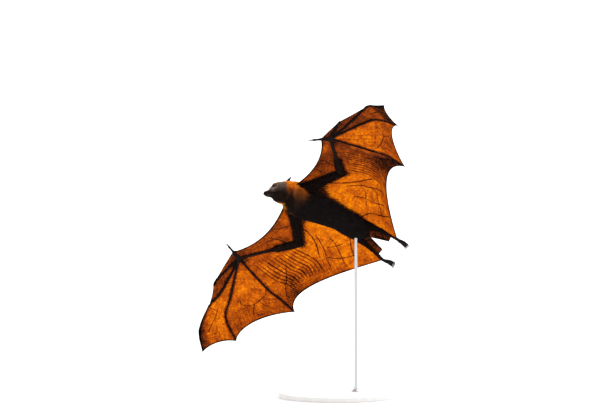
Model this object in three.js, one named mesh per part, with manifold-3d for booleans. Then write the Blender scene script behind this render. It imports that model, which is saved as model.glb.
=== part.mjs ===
// Grey-headed flying fox in flight, life size, on a plain display stand.
// Millimetres, +Z up. The origin is the middle of the base's underside.
// The bat is built in its own frame (x forward, y to its left, z towards its back),
// whose origin lies in the chest, and is then turned as one group.
import * as THREE from 'three';
import { mergeVertices } from 'three/addons/utils/BufferGeometryUtils.js';
import Module from 'manifold-3d';

const wasm = await Module();
wasm.setup();

// ---- driving dimensions ------------------------------------------------------------------

const bodyHeight = 465; // chest centre above the floor
const bodyPlace = [-45, -10]; // chest centre, sideways from the middle of the base
const headingTurn = -168; // degrees about the vertical
const noseUp = 25; // degrees
const bank = 42; // degrees, left wing raised

const baseRadius = 150;
const baseThickness = 12;
const baseBevel = 2;
const rodRadius = 4;
const rodPlace = [45, 8];
const rodTop = 420; // inside the belly
const collarRadius = 12;
const collarHeight = 9;
const pegDepth = 7;

const gap = 0.3; // between neighbouring solids
const skinThickness = 0.8; // of the wing membranes

const trunkFront = 62; // where the neck starts
const headLength = 70;
const headBack = [85, 2, 14]; // back of the skull
const headTurn = -12.5; // degrees, towards the right wing
const headDrop = 21; // degrees, nose below the line of the back
const eyeRadius = 5.5;
const eyePlace = [44, 11.8, 12.2]; // left eye, from the back of the skull
const earRoot = [23, 15, 15];
const earTip = [-2, 21, 38];
const earWidth = 10.5; // half-width of the leaf, laid flat
const earWrap = 2.2; // radians that the leaf curls round
const earThickness = 1.6;

const digitRadius = 2.2; // metacarpals beside the wrist
const clawRadius = 2.1;
const toeLength = 27; // with its claw
const toeSpread = 8; // degrees between neighbouring toes
const toeCount = 5;

// Joints of each side. A downstroke is never quite even, so the sides differ by a few mm.
const leftJoints = {
  shoulder: [60, 46, 16], elbow: [13, 141, 17], wrist: [100, 266, -11], thumbTip: [143, 232, -16],
  knuckle2: [114, 345, -33], tip2: [117, 366, -42],
  knuckle3: [88, 373, -28], joint3: [84, 448, -37], bend3: [80, 498, -72], tip3: [69, 540, -98],
  knuckle4: [51, 383, -17], joint4: [37, 438, -49], tip4: [6, 481, -83],
  knuckle5: [-3, 304, -26], joint5: [-44, 316, -31], tip5: [-87, 321, -44],
  hip: [-100, 19, 8], knee: [-160, 36, -2], ankle: [-200, 44, -16], toes: [-229, 39, -17],
  heelSpur: [-188, 18, -10],
};
const rightJoints = {
  shoulder: [55, -42, 11], elbow: [-7, -138, 1], wrist: [98, -271, -8], thumbTip: [152, -233, -14],
  knuckle2: [118, -350, -33], tip2: [117, -370, -39],
  knuckle3: [91, -380, -43], joint3: [91, -457, -32], bend3: [84, -514, -70], tip3: [52, -546, -103],
  knuckle4: [60, -390, -35], joint4: [42, -452, -48], tip4: [-9, -481, -79],
  knuckle5: [-5, -308, -29], joint5: [-50, -318, -35], tip5: [-95, -325, -46],
  hip: [-100, -19, 4], knee: [-162, -37, -4], ankle: [-203, -44, -18], toes: [-232, -40, -19],
  heelSpur: [-188, -18, -10],
};

// ---- small helpers -----------------------------------------------------------------------

const degrees = Math.PI / 180;
const dorsal = new THREE.Vector3(0, 0, 1);
const point = ([x, y, z]) => new THREE.Vector3(x, y, z);
const between = (a, b, t) => a.clone().lerp(b, t);

const material = (color, roughness, metalness = 0) =>
  new THREE.MeshStandardMaterial({ color, roughness, metalness });
const bodyFur = () => material(0x1d1613, 0.9);
const headFur = () => material(0x4c4846, 0.9);
const collarFur = () => material(0xa3561c, 0.9);
const darkSkin = () => material(0x231a18, 0.6);
const wingSkin = () => material(0xb96a24, 0.55);
const claw = () => material(0x17130f, 0.35);
const eyeGloss = () => material(0x1c0f08, 0.1);
const earSkin = () => material(0x1e1a19, 0.7);
const standPaint = () => material(0xe4e2dc, 0.45);
const standSteel = () => material(0xb9bcc0, 0.3, 0.9);

function closedGeometry(vertices, triangles) {
  const geometry = new THREE.BufferGeometry();
  geometry.setAttribute('position', new THREE.Float32BufferAttribute(vertices, 3));
  geometry.setIndex(triangles);
  return geometry;
}

function toSolid(geometry) {
  const bare = geometry.clone();
  bare.deleteAttribute('normal');
  bare.deleteAttribute('uv');
  const merged = mergeVertices(bare, 1e-4);
  return new wasm.Manifold(new wasm.Mesh({
    numProp: 3,
    vertProperties: new Float32Array(merged.attributes.position.array),
    triVerts: new Uint32Array(merged.index.array),
  }));
}

function toGeometry(solid) {
  const mesh = solid.getMesh();
  return closedGeometry(Array.from(mesh.vertProperties), Array.from(mesh.triVerts));
}

// Cuts the neighbours away and keeps the main piece of what is left.
function trimmed(geometry, ...neighbours) {
  let solid = toSolid(geometry);
  for (const neighbour of neighbours) solid = solid.subtract(toSolid(neighbour));
  const pieces = solid.decompose();
  pieces.sort((a, b) => b.volume() - a.volume());
  return toGeometry(pieces[0]);
}

// A closed tube through oval sections. A section is { at, wide, deep, normal }: wide is its
// half-width across, deep its half-width towards `up`. grow swells it all round. A blunt end
// is a flat face, the others close in a low dome.
function loft(sections, { sides = 10, grow = 0, up = dorsal, bluntStart = false, bluntEnd = false } = {}) {
  const vertices = [];
  const triangles = [];
  const last = sections.length - 1;
  const axisAt = (i) => sections[i].normal
    ?? sections[Math.min(i + 1, last)].at.clone().sub(sections[Math.max(i - 1, 0)].at).normalize();
  sections.forEach(({ at, wide, deep }, i) => {
    const axis = axisAt(i);
    const upward = up.clone().addScaledVector(axis, -up.dot(axis)).normalize();
    const across = upward.clone().cross(axis);
    const shift = (i === 0 && bluntStart ? -grow : 0) + (i === last && bluntEnd ? grow : 0);
    for (let j = 0; j < sides; j += 1) {
      const turn = 2 * Math.PI * (j + 0.5) / sides;
      const rim = at.clone().addScaledVector(axis, shift)
        .addScaledVector(across, Math.cos(turn) * (wide + grow))
        .addScaledVector(upward, Math.sin(turn) * (deep + grow));
      vertices.push(...rim.toArray());
    }
  });
  for (let i = 0; i < last; i += 1) {
    for (let j = 0; j < sides; j += 1) {
      const k = (j + 1) % sides;
      const [a, b] = [i * sides, (i + 1) * sides];
      triangles.push(a + j, a + k, b + k, a + j, b + k, b + j);
    }
  }
  const capEnd = (i, outward, blunt) => {
    const { at, wide, deep } = sections[i];
    const rise = (blunt ? 0 : 0.45 * Math.min(wide, deep)) + grow;
    vertices.push(...at.clone().addScaledVector(axisAt(i), outward * rise).toArray());
    const tip = vertices.length / 3 - 1;
    for (let j = 0; j < sides; j += 1) {
      const k = (j + 1) % sides;
      const rim = i * sides;
      triangles.push(...(outward < 0 ? [tip, rim + k, rim + j] : [tip, rim + j, rim + k]));
    }
  };
  capEnd(0, -1, bluntStart);
  capEnd(last, 1, bluntEnd);
  return closedGeometry(vertices, triangles);
}

// Round sections along a line of knots given as [point, radius], bulging where the radii say.
function limb(knots, { steps = 8, flat = 1, ...options } = {}) {
  const curve = new THREE.CatmullRomCurve3(knots.map(([at]) => at), false, 'centripetal');
  const sections = [];
  for (let i = 0; i <= steps; i += 1) {
    const place = i / steps * (knots.length - 1);
    const knot = Math.min(Math.floor(place), knots.length - 2);
    const radius = THREE.MathUtils.lerp(knots[knot][1], knots[knot + 1][1], place - knot);
    sections.push({ at: curve.getPoint(i / steps), wide: radius, deep: radius * flat });
  }
  return loft(sections, options);
}

// Runs along straight segments at an even pace as t goes 0..1.
function alongLine(points) {
  const path = new THREE.CurvePath();
  for (let i = 1; i < points.length; i += 1) path.add(new THREE.LineCurve3(points[i - 1], points[i]));
  return (t) => path.getPoint(THREE.MathUtils.clamp(t, 0, 1));
}

// A soft curve from joint to joint. Each bone takes an equal share of t, so that the joints
// of two fingers pair up.
function boneByBone(points) {
  const curve = new THREE.CatmullRomCurve3(points, false, 'catmullrom', 0.5);
  return (t) => curve.getPoint(THREE.MathUtils.clamp(t, 0, 1));
}

// A free edge between two points, hauled inwards towards `pull`. Each handle is a pair:
// how far along the chord it lies, and how far in, both as parts of the chord.
function freeEdge(start, end, pull, startHandle, endHandle) {
  const chord = end.clone().sub(start);
  const length = chord.length();
  const direction = chord.clone().normalize();
  const inward = pull.clone().sub(start);
  inward.addScaledVector(direction, -inward.dot(direction)).normalize();
  const handle = ([along, inside]) => start.clone().addScaledVector(chord, along)
    .addScaledVector(inward, inside * length);
  const curve = new THREE.CubicBezierCurve3(start, handle(startHandle), handle(endHandle), end);
  return (t) => curve.getPoint(THREE.MathUtils.clamp(t, 0, 1));
}

// A thin closed sheet over surface(u, v), both 0..1.
function sheet(surface, columns, rows, thickness = skinThickness) {
  const vertices = [];
  const triangles = [];
  const nudge = 0.01;
  const index = (i, j, under) => 2 * (i * (rows + 1) + j) + under;
  for (let i = 0; i <= columns; i += 1) {
    for (let j = 0; j <= rows; j += 1) {
      const [u, v] = [i / columns, j / rows];
      const [u0, v0] = [Math.min(u, 1 - nudge), Math.min(v, 1 - nudge)];
      const middle = surface(u, v);
      const normal = surface(u0 + nudge, v0).sub(surface(u0, v0))
        .cross(surface(u0, v0 + nudge).sub(surface(u0, v0))).normalize();
      for (const side of [0.5, -0.5]) {
        vertices.push(...middle.clone().addScaledVector(normal, side * thickness).toArray());
      }
    }
  }
  const quad = (a, b, c, d) => triangles.push(a, b, c, a, c, d);
  for (let i = 0; i < columns; i += 1) {
    for (let j = 0; j < rows; j += 1) {
      quad(index(i, j, 0), index(i + 1, j, 0), index(i + 1, j + 1, 0), index(i, j + 1, 0));
      quad(index(i, j, 1), index(i, j + 1, 1), index(i + 1, j + 1, 1), index(i + 1, j, 1));
    }
    quad(index(i, 0, 0), index(i, 0, 1), index(i + 1, 0, 1), index(i + 1, 0, 0));
    quad(index(i, rows, 0), index(i + 1, rows, 0), index(i + 1, rows, 1), index(i, rows, 1));
  }
  for (let j = 0; j < rows; j += 1) {
    quad(index(0, j, 0), index(0, j + 1, 0), index(0, j + 1, 1), index(0, j, 1));
    quad(index(columns, j, 0), index(columns, j, 1), index(columns, j + 1, 1), index(columns, j + 1, 0));
  }
  return closedGeometry(vertices, triangles);
}

// ---- head and body -----------------------------------------------------------------------

const headFrame = new THREE.Matrix4().compose(
  point(headBack),
  new THREE.Quaternion().setFromEuler(new THREE.Euler(0, headDrop * degrees, headTurn * degrees, 'ZYX')),
  new THREE.Vector3(1, 1, 1),
);
const inHead = (place) => point(place).applyMatrix4(headFrame);
const headAxis = new THREE.Vector3(1, 0, 0).transformDirection(headFrame);
const headUp = new THREE.Vector3(0, 0, 1).transformDirection(headFrame);
const mirrored = ([x, y, z], side) => [x, y * side, z];

// The part of the body in front of `trunkFront` is the neck; its first section is the trunk's last.
const neckSection = { z: 9, wide: 41, deep: 38 };
const skullSection = { wide: 28, deep: 28.5 };

function trunkShape(grow = 0) {
  const outline = [ // from the rump forward: x, z, half-width, half-depth
    [-131, -2, 9, 6], [-124, 0, 21, 15], [-112, 3, 31, 23], [-95, 6, 35, 28], [-72, 9, 35, 30],
    [-48, 11.5, 35, 31], [-20, 12, 38, 34.5], [8, 11.5, 41, 38], [36, 9.5, 43, 39],
    [trunkFront, neckSection.z, neckSection.wide, neckSection.deep],
  ];
  const sections = outline.map(([x, z, wide, deep]) => ({ at: point([x, 0, z]), wide, deep }));
  sections.at(-1).normal = new THREE.Vector3(1, 0, 0);
  return loft(sections, { sides: 18, grow, bluntEnd: true });
}

function neckShape(grow = 0) {
  const front = new THREE.Vector3(1, 0, 0);
  const sections = [
    { at: point([trunkFront + gap, 0, neckSection.z]), ...neckSection, normal: front },
    { at: point([73, 0.6, 11.5]), wide: 41, deep: 38.5 },
    { at: point([82, 1.2, 13]), wide: 36, deep: 34.5 },
    { at: inHead([-gap, 0, 2]), ...skullSection, normal: headAxis },
  ];
  return loft(sections, { sides: 18, grow, bluntStart: true, bluntEnd: true });
}

function headShape(grow = 0) {
  const outline = [ // part of the length from the back of the skull, height, half-width, half-depth
    [0, 2, skullSection.wide, skullSection.deep], [0.165, 3, 27.5, 28], [0.33, 3.4, 26.5, 26.8],
    [0.47, 3.4, 24.8, 24.6], [0.58, 3.4, 22, 21.4], [0.66, 3.2, 18.2, 18], [0.74, 1.5, 13.2, 13.2],
    [0.825, 0.3, 10.2, 9.8], [0.905, 0.1, 8.4, 8], [0.965, 0.4, 6.8, 6.4], [1, 0.9, 4.4, 4.2],
  ];
  const sections = outline.map(([part, z, wide, deep]) =>
    ({ at: inHead([part * headLength, 0, z]), wide, deep }));
  sections[0].normal = headAxis;
  return loft(sections, { sides: 16, grow, up: headUp, bluntStart: true });
}

function eyeShape(side, grow = 0) {
  const ball = new THREE.SphereGeometry(eyeRadius + grow, 9, 6);
  const centre = inHead(mirrored(eyePlace, side));
  return ball.translate(centre.x, centre.y, centre.z);
}

// A pointed leaf, hollow in front like a narrow spoon.
function earShape(side) {
  const root = inHead(mirrored(earRoot, side));
  const tip = inHead(mirrored(earTip, side));
  const lean = tip.clone().sub(root).normalize();
  const hollowFacing = new THREE.Vector3(0.9, side * 0.45, 0).transformDirection(headFrame);
  const across = lean.clone().cross(hollowFacing).normalize();
  const rear = lean.clone().cross(across);
  const surface = (u, v) => {
    const half = earWidth * Math.pow(Math.cos(u * 1.42), 0.75) * (0.82 + 0.55 * u * (1 - u));
    const turn = (v - 0.5) * earWrap;
    return between(root, tip, u).addScaledVector(across, Math.sin(turn) * half)
      .addScaledVector(rear, Math.cos(turn) * half * 0.7);
  };
  return sheet(surface, 6, 4, earThickness);
}

// ---- limbs -------------------------------------------------------------------------------

function jointsOf(table) {
  const joints = Object.fromEntries(Object.entries(table).map(([name, place]) => [name, point(place)]));
  joints.thumbRoot = between(joints.wrist, joints.thumbTip, 0.42);
  joints.palm = between(joints.wrist, joints.knuckle4, 0.11);
  return joints;
}

function upperArmShape({ shoulder, elbow }, grow = 0) {
  const inner = between(shoulder, elbow, -0.12);
  return limb([[inner, 16], [between(shoulder, elbow, 0.3), 14.6], [between(shoulder, elbow, 0.65), 10.6],
    [elbow, 9]], { steps: 5, flat: 0.85, sides: 8, grow });
}

function forearmShape({ elbow, wrist }, grow = 0) {
  const part = (t) => between(elbow, wrist, t);
  return limb([[part(-0.03), 9], [part(0.1), 12], [part(0.25), 10.8], [part(0.42), 7], [part(0.58), 4.2],
    [part(0.8), 3.6], [wrist, 4]], { steps: 8, flat: 0.85, sides: 8, grow });
}

function handShape({ palm, wrist, thumbRoot }, grow = 0) {
  return limb([[palm, 4.6], [wrist, 7.4], [between(wrist, thumbRoot, 0.6), 5.6], [thumbRoot, 3.8]],
    { steps: 4, flat: 0.8, sides: 8, grow });
}

function thumbShape({ wrist, thumbRoot, thumbTip }, grow = 0) {
  const part = (t) => between(wrist, thumbTip, t);
  return limb([[thumbRoot, 3], [part(0.58), 2.4], [part(0.72), 3], [part(0.78), 2.6]],
    { steps: 4, sides: 6, grow });
}

function thumbClawShape({ wrist, thumbTip }) {
  const part = (t, drop) => between(wrist, thumbTip, t).addScaledVector(dorsal, -drop);
  return limb([[part(0.75, -0.4), clawRadius], [part(0.85, -1), clawRadius * 0.85],
    [part(0.95, 0.5), clawRadius * 0.55], [part(1, 4), 0.4]], { steps: 4, flat: 1.25, sides: 5 });
}

// A finger from the palm to its tip, a little thicker at each joint.
function fingerShape(joints, grow = 0) {
  const bones = joints.length - 1;
  const curve = boneByBone(joints);
  const knots = [[joints[0], digitRadius]];
  for (let i = 1; i <= bones; i += 1) {
    const radius = digitRadius * (1 - 0.16 * i);
    knots.push([curve((i - 0.5) / bones), radius]);
    knots.push([joints[i], radius * (i === bones ? 0.65 : 1.3)]);
  }
  const sections = knots.map(([at, radius]) => ({ at, wide: radius, deep: radius }));
  return loft(sections, { sides: 5, grow });
}

const fingerLines = ({ palm, wrist, knuckle2, tip2, knuckle3, joint3, bend3, tip3,
  knuckle4, joint4, tip4, knuckle5, joint5, tip5 }) => ({
  2: [wrist, knuckle2, tip2],
  3: [palm, knuckle3, joint3, bend3, tip3],
  4: [palm, knuckle4, joint4, tip4],
  5: [wrist, knuckle5, joint5, tip5],
});

// The line of a finger with its last bone halved, to pair with the bowed third finger.
const lastBoneHalved = (line) =>
  [...line.slice(0, -1), boneByBone(line)(1 - 0.5 / (line.length - 1)), line.at(-1)];

function thighShape({ hip, knee }, grow = 0) {
  return limb([[between(hip, knee, -0.1), 14], [between(hip, knee, 0.35), 13.5],
    [between(hip, knee, 0.75), 8.5], [knee, 6.5]], { steps: 5, flat: 0.85, sides: 8, grow });
}

function shinShape({ knee, ankle }, grow = 0) {
  return limb([[between(knee, ankle, -0.1), 6.2], [between(knee, ankle, 0.5), 4.6], [ankle, 3.8]],
    { steps: 3, sides: 6, grow });
}

// Sole, five toes and their hooked claws in one piece.
function footShape({ ankle, toes }, grow = 0) {
  const axis = toes.clone().sub(ankle).normalize();
  const sole = ankle.clone().addScaledVector(axis, 11);
  const heel = ankle.clone().addScaledVector(axis, -3);
  let foot = toSolid(limb([[heel, 4], [ankle.clone().addScaledVector(axis, 4), 4.8], [sole, 6]],
    { steps: 3, flat: 0.6, sides: 8, grow }));
  if (grow > 0) return toGeometry(foot);
  const across = axis.clone().cross(dorsal).normalize();
  for (let i = 0; i < toeCount; i += 1) {
    const offset = i - (toeCount - 1) / 2;
    const heading = axis.clone().applyAxisAngle(dorsal, -offset * toeSpread * degrees);
    const root = sole.clone().addScaledVector(across, offset * 2.1).addScaledVector(axis, -3);
    const reach = (part, drop) => root.clone().addScaledVector(heading, part * toeLength)
      .addScaledVector(dorsal, -drop);
    foot = foot.add(toSolid(limb([[reach(0, 0), 1.8], [reach(0.3, -1), 1.6], [reach(0.6, 0), 1.6],
      [reach(0.85, 3), 1.1], [reach(0.97, 8.5), 0.35]], { steps: 3, sides: 4 })));
  }
  return toGeometry(foot);
}

// ---- wing membranes ----------------------------------------------------------------------

// Between two fingers: both run out from the hand, and the free edge joins their tips.
// belly is how far the skin is blown towards the back.
function webSurface(nearLine, farLine, edge, belly) {
  const near = boneByBone(nearLine);
  const far = boneByBone(farLine);
  return (u, v) => {
    const s = Math.max(u, 0.01);
    const straight = between(near(s), far(s), v);
    const hauled = edge(v).sub(between(near(1), far(1), v)).multiplyScalar(Math.pow(s, 2.2));
    const lift = belly * Math.sin(Math.PI * v) * Math.sin(Math.PI * Math.min(1, s * 0.8));
    return straight.add(hauled).addScaledVector(dorsal, lift);
  };
}

// Skin in front of the arm, from the side of the neck to the root of the thumb.
function armSkinSurface({ shoulder, elbow, wrist, thumbRoot }, { root, startHandle, endHandle }) {
  const edge = freeEdge(point(root), thumbRoot, elbow, startHandle, endHandle);
  const bones = alongLine([shoulder, elbow, wrist]);
  const droop = 8; // the front edge hangs, and the skin behind it is blown up
  return (u, v) => between(edge(u), bones(Math.pow(u, 0.9)), v)
    .addScaledVector(dorsal, droop * Math.sin(Math.PI * u) * (Math.sin(Math.PI * v) - (1 - v)));
}

// Skin from the arm and fifth finger to the flank and leg, filled in from its four borders.
function flankSkinSurface(joints, side, { startHandle, endHandle }) {
  const { elbow, wrist, knuckle5, joint5, tip5, hip, knee, ankle } = joints;
  const armpit = point([44, 24 * side, 14]);
  const top = alongLine([wrist, elbow, armpit]);
  const finger = boneByBone([wrist, knuckle5, joint5, tip5]);
  const flank = alongLine([armpit, point([-30, 22 * side, 16]), hip, knee, ankle]);
  const trailing = freeEdge(tip5, ankle, elbow, startHandle, endHandle);
  return (u, v) => { // u from the finger to the flank, v from the arm to the trailing edge
    const across = between(top(u), trailing(u), v);
    const along = between(finger(v), flank(v), u);
    const corners = between(between(wrist, armpit, u), between(tip5, ankle, u), v);
    const lift = 20 * Math.sin(Math.PI * u) * Math.sin(Math.PI * v);
    return across.add(along).sub(corners).addScaledVector(dorsal, lift);
  };
}

// The narrow skin along the inside of the leg, held out by the heel spur.
function tailSkinSurface({ hip, knee, ankle, heelSpur }, side) {
  const leg = alongLine([hip, knee, between(knee, ankle, 0.6)]);
  const inner = alongLine([point([-112, side * 0.4, -3]), point([-146, side * 0.4, -6]), heelSpur]);
  return (u, v) => between(inner(u), leg(u), v);
}

// ---- stand -------------------------------------------------------------------------------

function baseShape() {
  const outline = [[0, 0], [baseRadius - baseBevel, 0], [baseRadius, baseBevel],
    [baseRadius, baseThickness - baseBevel], [baseRadius - baseBevel, baseThickness], [0, baseThickness]];
  const plate = new THREE.LatheGeometry(outline.map(([r, z]) => new THREE.Vector2(r, z)), 28);
  plate.rotateX(Math.PI / 2);
  const hole = new THREE.CylinderGeometry(rodRadius + gap, rodRadius + gap, 2 * (pegDepth + gap), 12);
  hole.rotateX(Math.PI / 2).translate(rodPlace[0], rodPlace[1], baseThickness);
  return trimmed(plate, hole);
}

function rodShape() {
  const foot = baseThickness + gap;
  const outline = [[0, baseThickness - pegDepth], [rodRadius, baseThickness - pegDepth], [rodRadius, foot],
    [collarRadius, foot], [collarRadius, foot + 2], [collarRadius * 0.55, foot + collarHeight],
    [rodRadius, foot + collarHeight + 3], [rodRadius, rodTop - 1], [rodRadius - 1, rodTop], [0, rodTop]];
  const rod = new THREE.LatheGeometry(outline.map(([r, z]) => new THREE.Vector2(r, z)), 10);
  rod.rotateX(Math.PI / 2).translate(rodPlace[0], rodPlace[1], 0);
  return rod;
}

function rodSocket() {
  const radius = rodRadius + gap;
  const socket = new THREE.CylinderGeometry(radius, radius, 200, 12);
  return socket.rotateX(Math.PI / 2).translate(rodPlace[0], rodPlace[1], rodTop + gap - 100);
}

// ---- assembly ----------------------------------------------------------------------------

const flyingFox = new THREE.Group();
const bat = new THREE.Group();
bat.position.set(...bodyPlace, bodyHeight);
bat.rotation.set(bank * degrees, -noseUp * degrees, headingTurn * degrees, 'ZYX');
bat.updateMatrix();
flyingFox.add(bat);

function place(parent, name, geometry, look) {
  const mesh = new THREE.Mesh(geometry, look);
  mesh.name = name;
  parent.add(mesh);
}

const sides = [
  { name: 'left', sign: 1, joints: jointsOf(leftJoints),
    armEdge: { root: [88, 37, 17], startHandle: [0.3, 0.07], endHandle: [0.68, 0.15] },
    flankEdge: { startHandle: [0.07, 0.255], endHandle: [0.6, 0.125] } },
  { name: 'right', sign: -1, joints: jointsOf(rightJoints),
    armEdge: { root: [86, -30, 13], startHandle: [0.3, 0.12], endHandle: [0.68, 0.15] },
    flankEdge: { startHandle: [0.07, 0.225], endHandle: [0.6, 0.09] } },
];
const socketInBody = rodSocket().applyMatrix4(bat.matrix.clone().invert());

place(flyingFox, 'stand_base', baseShape(), standPaint());
place(flyingFox, 'stand_rod', rodShape(), standSteel());
place(bat, 'trunk', trimmed(trunkShape(), socketInBody), bodyFur());
place(bat, 'neck', trimmed(neckShape(), headShape(gap)), collarFur());
place(bat, 'head', trimmed(headShape(), eyeShape(1, gap), eyeShape(-1, gap)), headFur());

for (const { name, sign, joints, armEdge, flankEdge } of sides) {
  const fingers = fingerLines(joints);
  const body = [trunkShape(gap), neckShape(gap)];
  const upperArm = upperArmShape(joints, gap);
  const forearm = forearmShape(joints, gap);
  const hand = handShape(joints, gap);
  const thumb = thumbShape(joints, gap);
  const thigh = thighShape(joints, gap);
  const shin = shinShape(joints, gap);
  const foot = footShape(joints, gap);

  place(bat, `eye_${name}`, eyeShape(sign), eyeGloss());
  place(bat, `ear_${name}`, trimmed(earShape(sign), headShape(gap), neckShape(gap)), earSkin());
  place(bat, `upper_arm_${name}`, trimmed(upperArmShape(joints), ...body), bodyFur());
  place(bat, `forearm_${name}`, trimmed(forearmShape(joints), upperArm), bodyFur());
  place(bat, `wrist_${name}`, trimmed(handShape(joints), forearm), darkSkin());
  place(bat, `thumb_${name}`, trimmed(thumbShape(joints), hand), darkSkin());
  place(bat, `thumb_claw_${name}`, trimmed(thumbClawShape(joints), thumb), claw());
  for (const [digit, line] of Object.entries(fingers)) {
    const others = Object.entries(fingers).filter(([other]) => other < digit)
      .map(([, otherLine]) => fingerShape(otherLine, gap));
    place(bat, `digit_${digit}_${name}`, trimmed(fingerShape(line), hand, forearm, ...others), darkSkin());
  }
  place(bat, `thigh_${name}`, trimmed(thighShape(joints), ...body), bodyFur());
  place(bat, `shin_${name}`, trimmed(shinShape(joints), thigh), darkSkin());
  place(bat, `foot_${name}`, trimmed(footShape(joints), shin), darkSkin());

  const grown = (digit) => fingerShape(fingers[digit], gap);
  const web = (title, surface, columns, rows, ...neighbours) =>
    place(bat, `${title}_${name}`, trimmed(sheet(surface, columns, rows), ...neighbours), wingSkin());
  const { wrist, thumbRoot, tip2, joint3, tip3, tip4, tip5 } = joints;

  web('membrane_arm', armSkinSurface(joints, armEdge), 8, 3, ...body, upperArm, forearm, hand, thumb);
  web('membrane_1_2', webSurface([wrist, thumbRoot, tip2], fingers[2], () => tip2.clone(), 0), 4, 2,
    hand, thumb, forearm, grown(2));
  web('membrane_2_3', webSurface(fingers[2], [fingers[3][0], joints.knuckle3, joint3],
    freeEdge(tip2, joint3, wrist, [0.3, 0.04], [0.7, 0.04]), 1), 6, 2, hand, grown(2), grown(3));
  web('membrane_3_4', webSurface(fingers[3], lastBoneHalved(fingers[4]),
    freeEdge(tip3, tip4, wrist, [0.25, 0.16], [0.7, 0.16]), 4), 8, 3, hand, grown(3), grown(4));
  web('membrane_4_5', webSurface(fingers[4], fingers[5],
    freeEdge(tip4, tip5, wrist, [0.12, 0.17], [0.62, 0.14]), 10), 6, 5, hand, grown(4), grown(5));
  web('membrane_flank', flankSkinSurface(joints, sign, flankEdge), 10, 6, ...body, upperArm, forearm, hand,
    grown(5), thigh, shin, foot);
  web('membrane_tail', tailSkinSurface(joints, sign), 6, 2, ...body, thigh, shin, foot, socketInBody);
}

export default flyingFox;
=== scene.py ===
import bpy
import math
import numpy as np
from mathutils import Euler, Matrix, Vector


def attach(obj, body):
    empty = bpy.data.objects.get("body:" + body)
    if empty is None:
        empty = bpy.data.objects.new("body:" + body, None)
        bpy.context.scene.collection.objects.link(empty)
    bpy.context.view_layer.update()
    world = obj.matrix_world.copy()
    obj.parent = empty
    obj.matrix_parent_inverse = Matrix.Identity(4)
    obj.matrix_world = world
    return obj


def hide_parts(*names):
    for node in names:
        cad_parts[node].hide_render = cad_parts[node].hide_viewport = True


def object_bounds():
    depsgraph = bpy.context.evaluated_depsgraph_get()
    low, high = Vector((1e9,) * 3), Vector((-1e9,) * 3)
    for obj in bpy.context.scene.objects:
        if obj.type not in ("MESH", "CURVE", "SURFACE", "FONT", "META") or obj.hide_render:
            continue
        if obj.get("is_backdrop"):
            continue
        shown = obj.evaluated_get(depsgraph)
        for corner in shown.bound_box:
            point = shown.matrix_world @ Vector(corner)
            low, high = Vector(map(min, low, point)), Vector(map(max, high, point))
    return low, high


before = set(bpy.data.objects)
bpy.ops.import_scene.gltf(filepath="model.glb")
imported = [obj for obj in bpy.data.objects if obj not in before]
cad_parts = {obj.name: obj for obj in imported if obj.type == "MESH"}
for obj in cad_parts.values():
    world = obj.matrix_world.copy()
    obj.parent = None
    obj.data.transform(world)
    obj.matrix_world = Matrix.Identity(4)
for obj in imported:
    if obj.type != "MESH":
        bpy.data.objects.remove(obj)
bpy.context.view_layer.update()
print("frame loaded,", len(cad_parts), "solids")

mm = 0.001
dice = np.random.default_rng(7)

# How the bat hangs in the air. Its own axes run forward, to its left and towards its back.
flight = {"chest": (-0.045, -0.010, 0.465), "heading": -168, "noseUp": 25, "bank": 42}
batTurn = np.array(Euler((math.radians(flight["bank"]), -math.radians(flight["noseUp"]),
                          math.radians(flight["heading"]))).to_matrix())
batPlace = np.array(flight["chest"])
dorsal = np.array((0.0, 0.0, 1.0))

headPose = {"back": (85, 2, 14), "turn": -12.5, "drop": 21}
headTurn = np.array(Euler((0, math.radians(headPose["drop"]), math.radians(headPose["turn"]))).to_matrix())
headBack = np.array(headPose["back"], float)

# Joints of each side in millimetres, in the bat's own axes.
leftJoints = {
    "shoulder": (60, 46, 16), "elbow": (13, 141, 17), "wrist": (100, 266, -11),
    "thumbTip": (143, 232, -16), "knuckle2": (114, 345, -33), "tip2": (117, 366, -42),
    "knuckle3": (88, 373, -28), "joint3": (84, 448, -37),
    "bend3": (80, 498, -72), "tip3": (69, 540, -98), "knuckle4": (51, 383, -17), "joint4": (37, 438, -49),
    "tip4": (6, 481, -83), "knuckle5": (-3, 304, -26), "joint5": (-44, 316, -31), "tip5": (-87, 321, -44),
    "hip": (-100, 19, 8), "knee": (-160, 36, -2), "ankle": (-200, 44, -16), "toes": (-229, 39, -17),
    "heelSpur": (-188, 18, -10), "armpit": (44, 24, 14), "flank": (-30, 22, 16), "neckRoot": (88, 37, 17),
}
rightJoints = {
    "shoulder": (55, -42, 11), "elbow": (-7, -138, 1), "wrist": (98, -271, -8), "thumbTip": (152, -233, -14),
    "knuckle2": (118, -350, -33), "tip2": (117, -370, -39), "knuckle3": (91, -380, -43),
    "joint3": (91, -457, -32), "bend3": (84, -514, -70), "tip3": (52, -546, -103),
    "knuckle4": (60, -390, -35), "joint4": (42, -452, -48), "tip4": (-9, -481, -79),
    "knuckle5": (-5, -308, -29), "joint5": (-50, -318, -35),
    "tip5": (-95, -325, -46), "hip": (-100, -19, 4), "knee": (-162, -37, -4), "ankle": (-203, -44, -18),
    "toes": (-232, -40, -19), "heelSpur": (-188, -18, -10), "armpit": (44, -24, 14), "flank": (-30, -22, 16),
    "neckRoot": (86, -30, 13),
}


def jointsOf(table):
    joints = {name: np.array(place, float) for name, place in table.items()}
    joints["thumbRoot"] = joints["wrist"] + 0.42 * (joints["thumbTip"] - joints["wrist"])
    joints["palm"] = joints["wrist"] + 0.11 * (joints["knuckle4"] - joints["wrist"])
    return joints


sides = {"left": (1, jointsOf(leftJoints)), "right": (-1, jointsOf(rightJoints))}


def inWorld(points):  # the bat's millimetres to metres in the room
    return np.asarray(points, float) @ batTurn.T * mm + batPlace


def inBody(points):
    return (np.asarray(points, float) - batPlace) / mm @ batTurn


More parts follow.
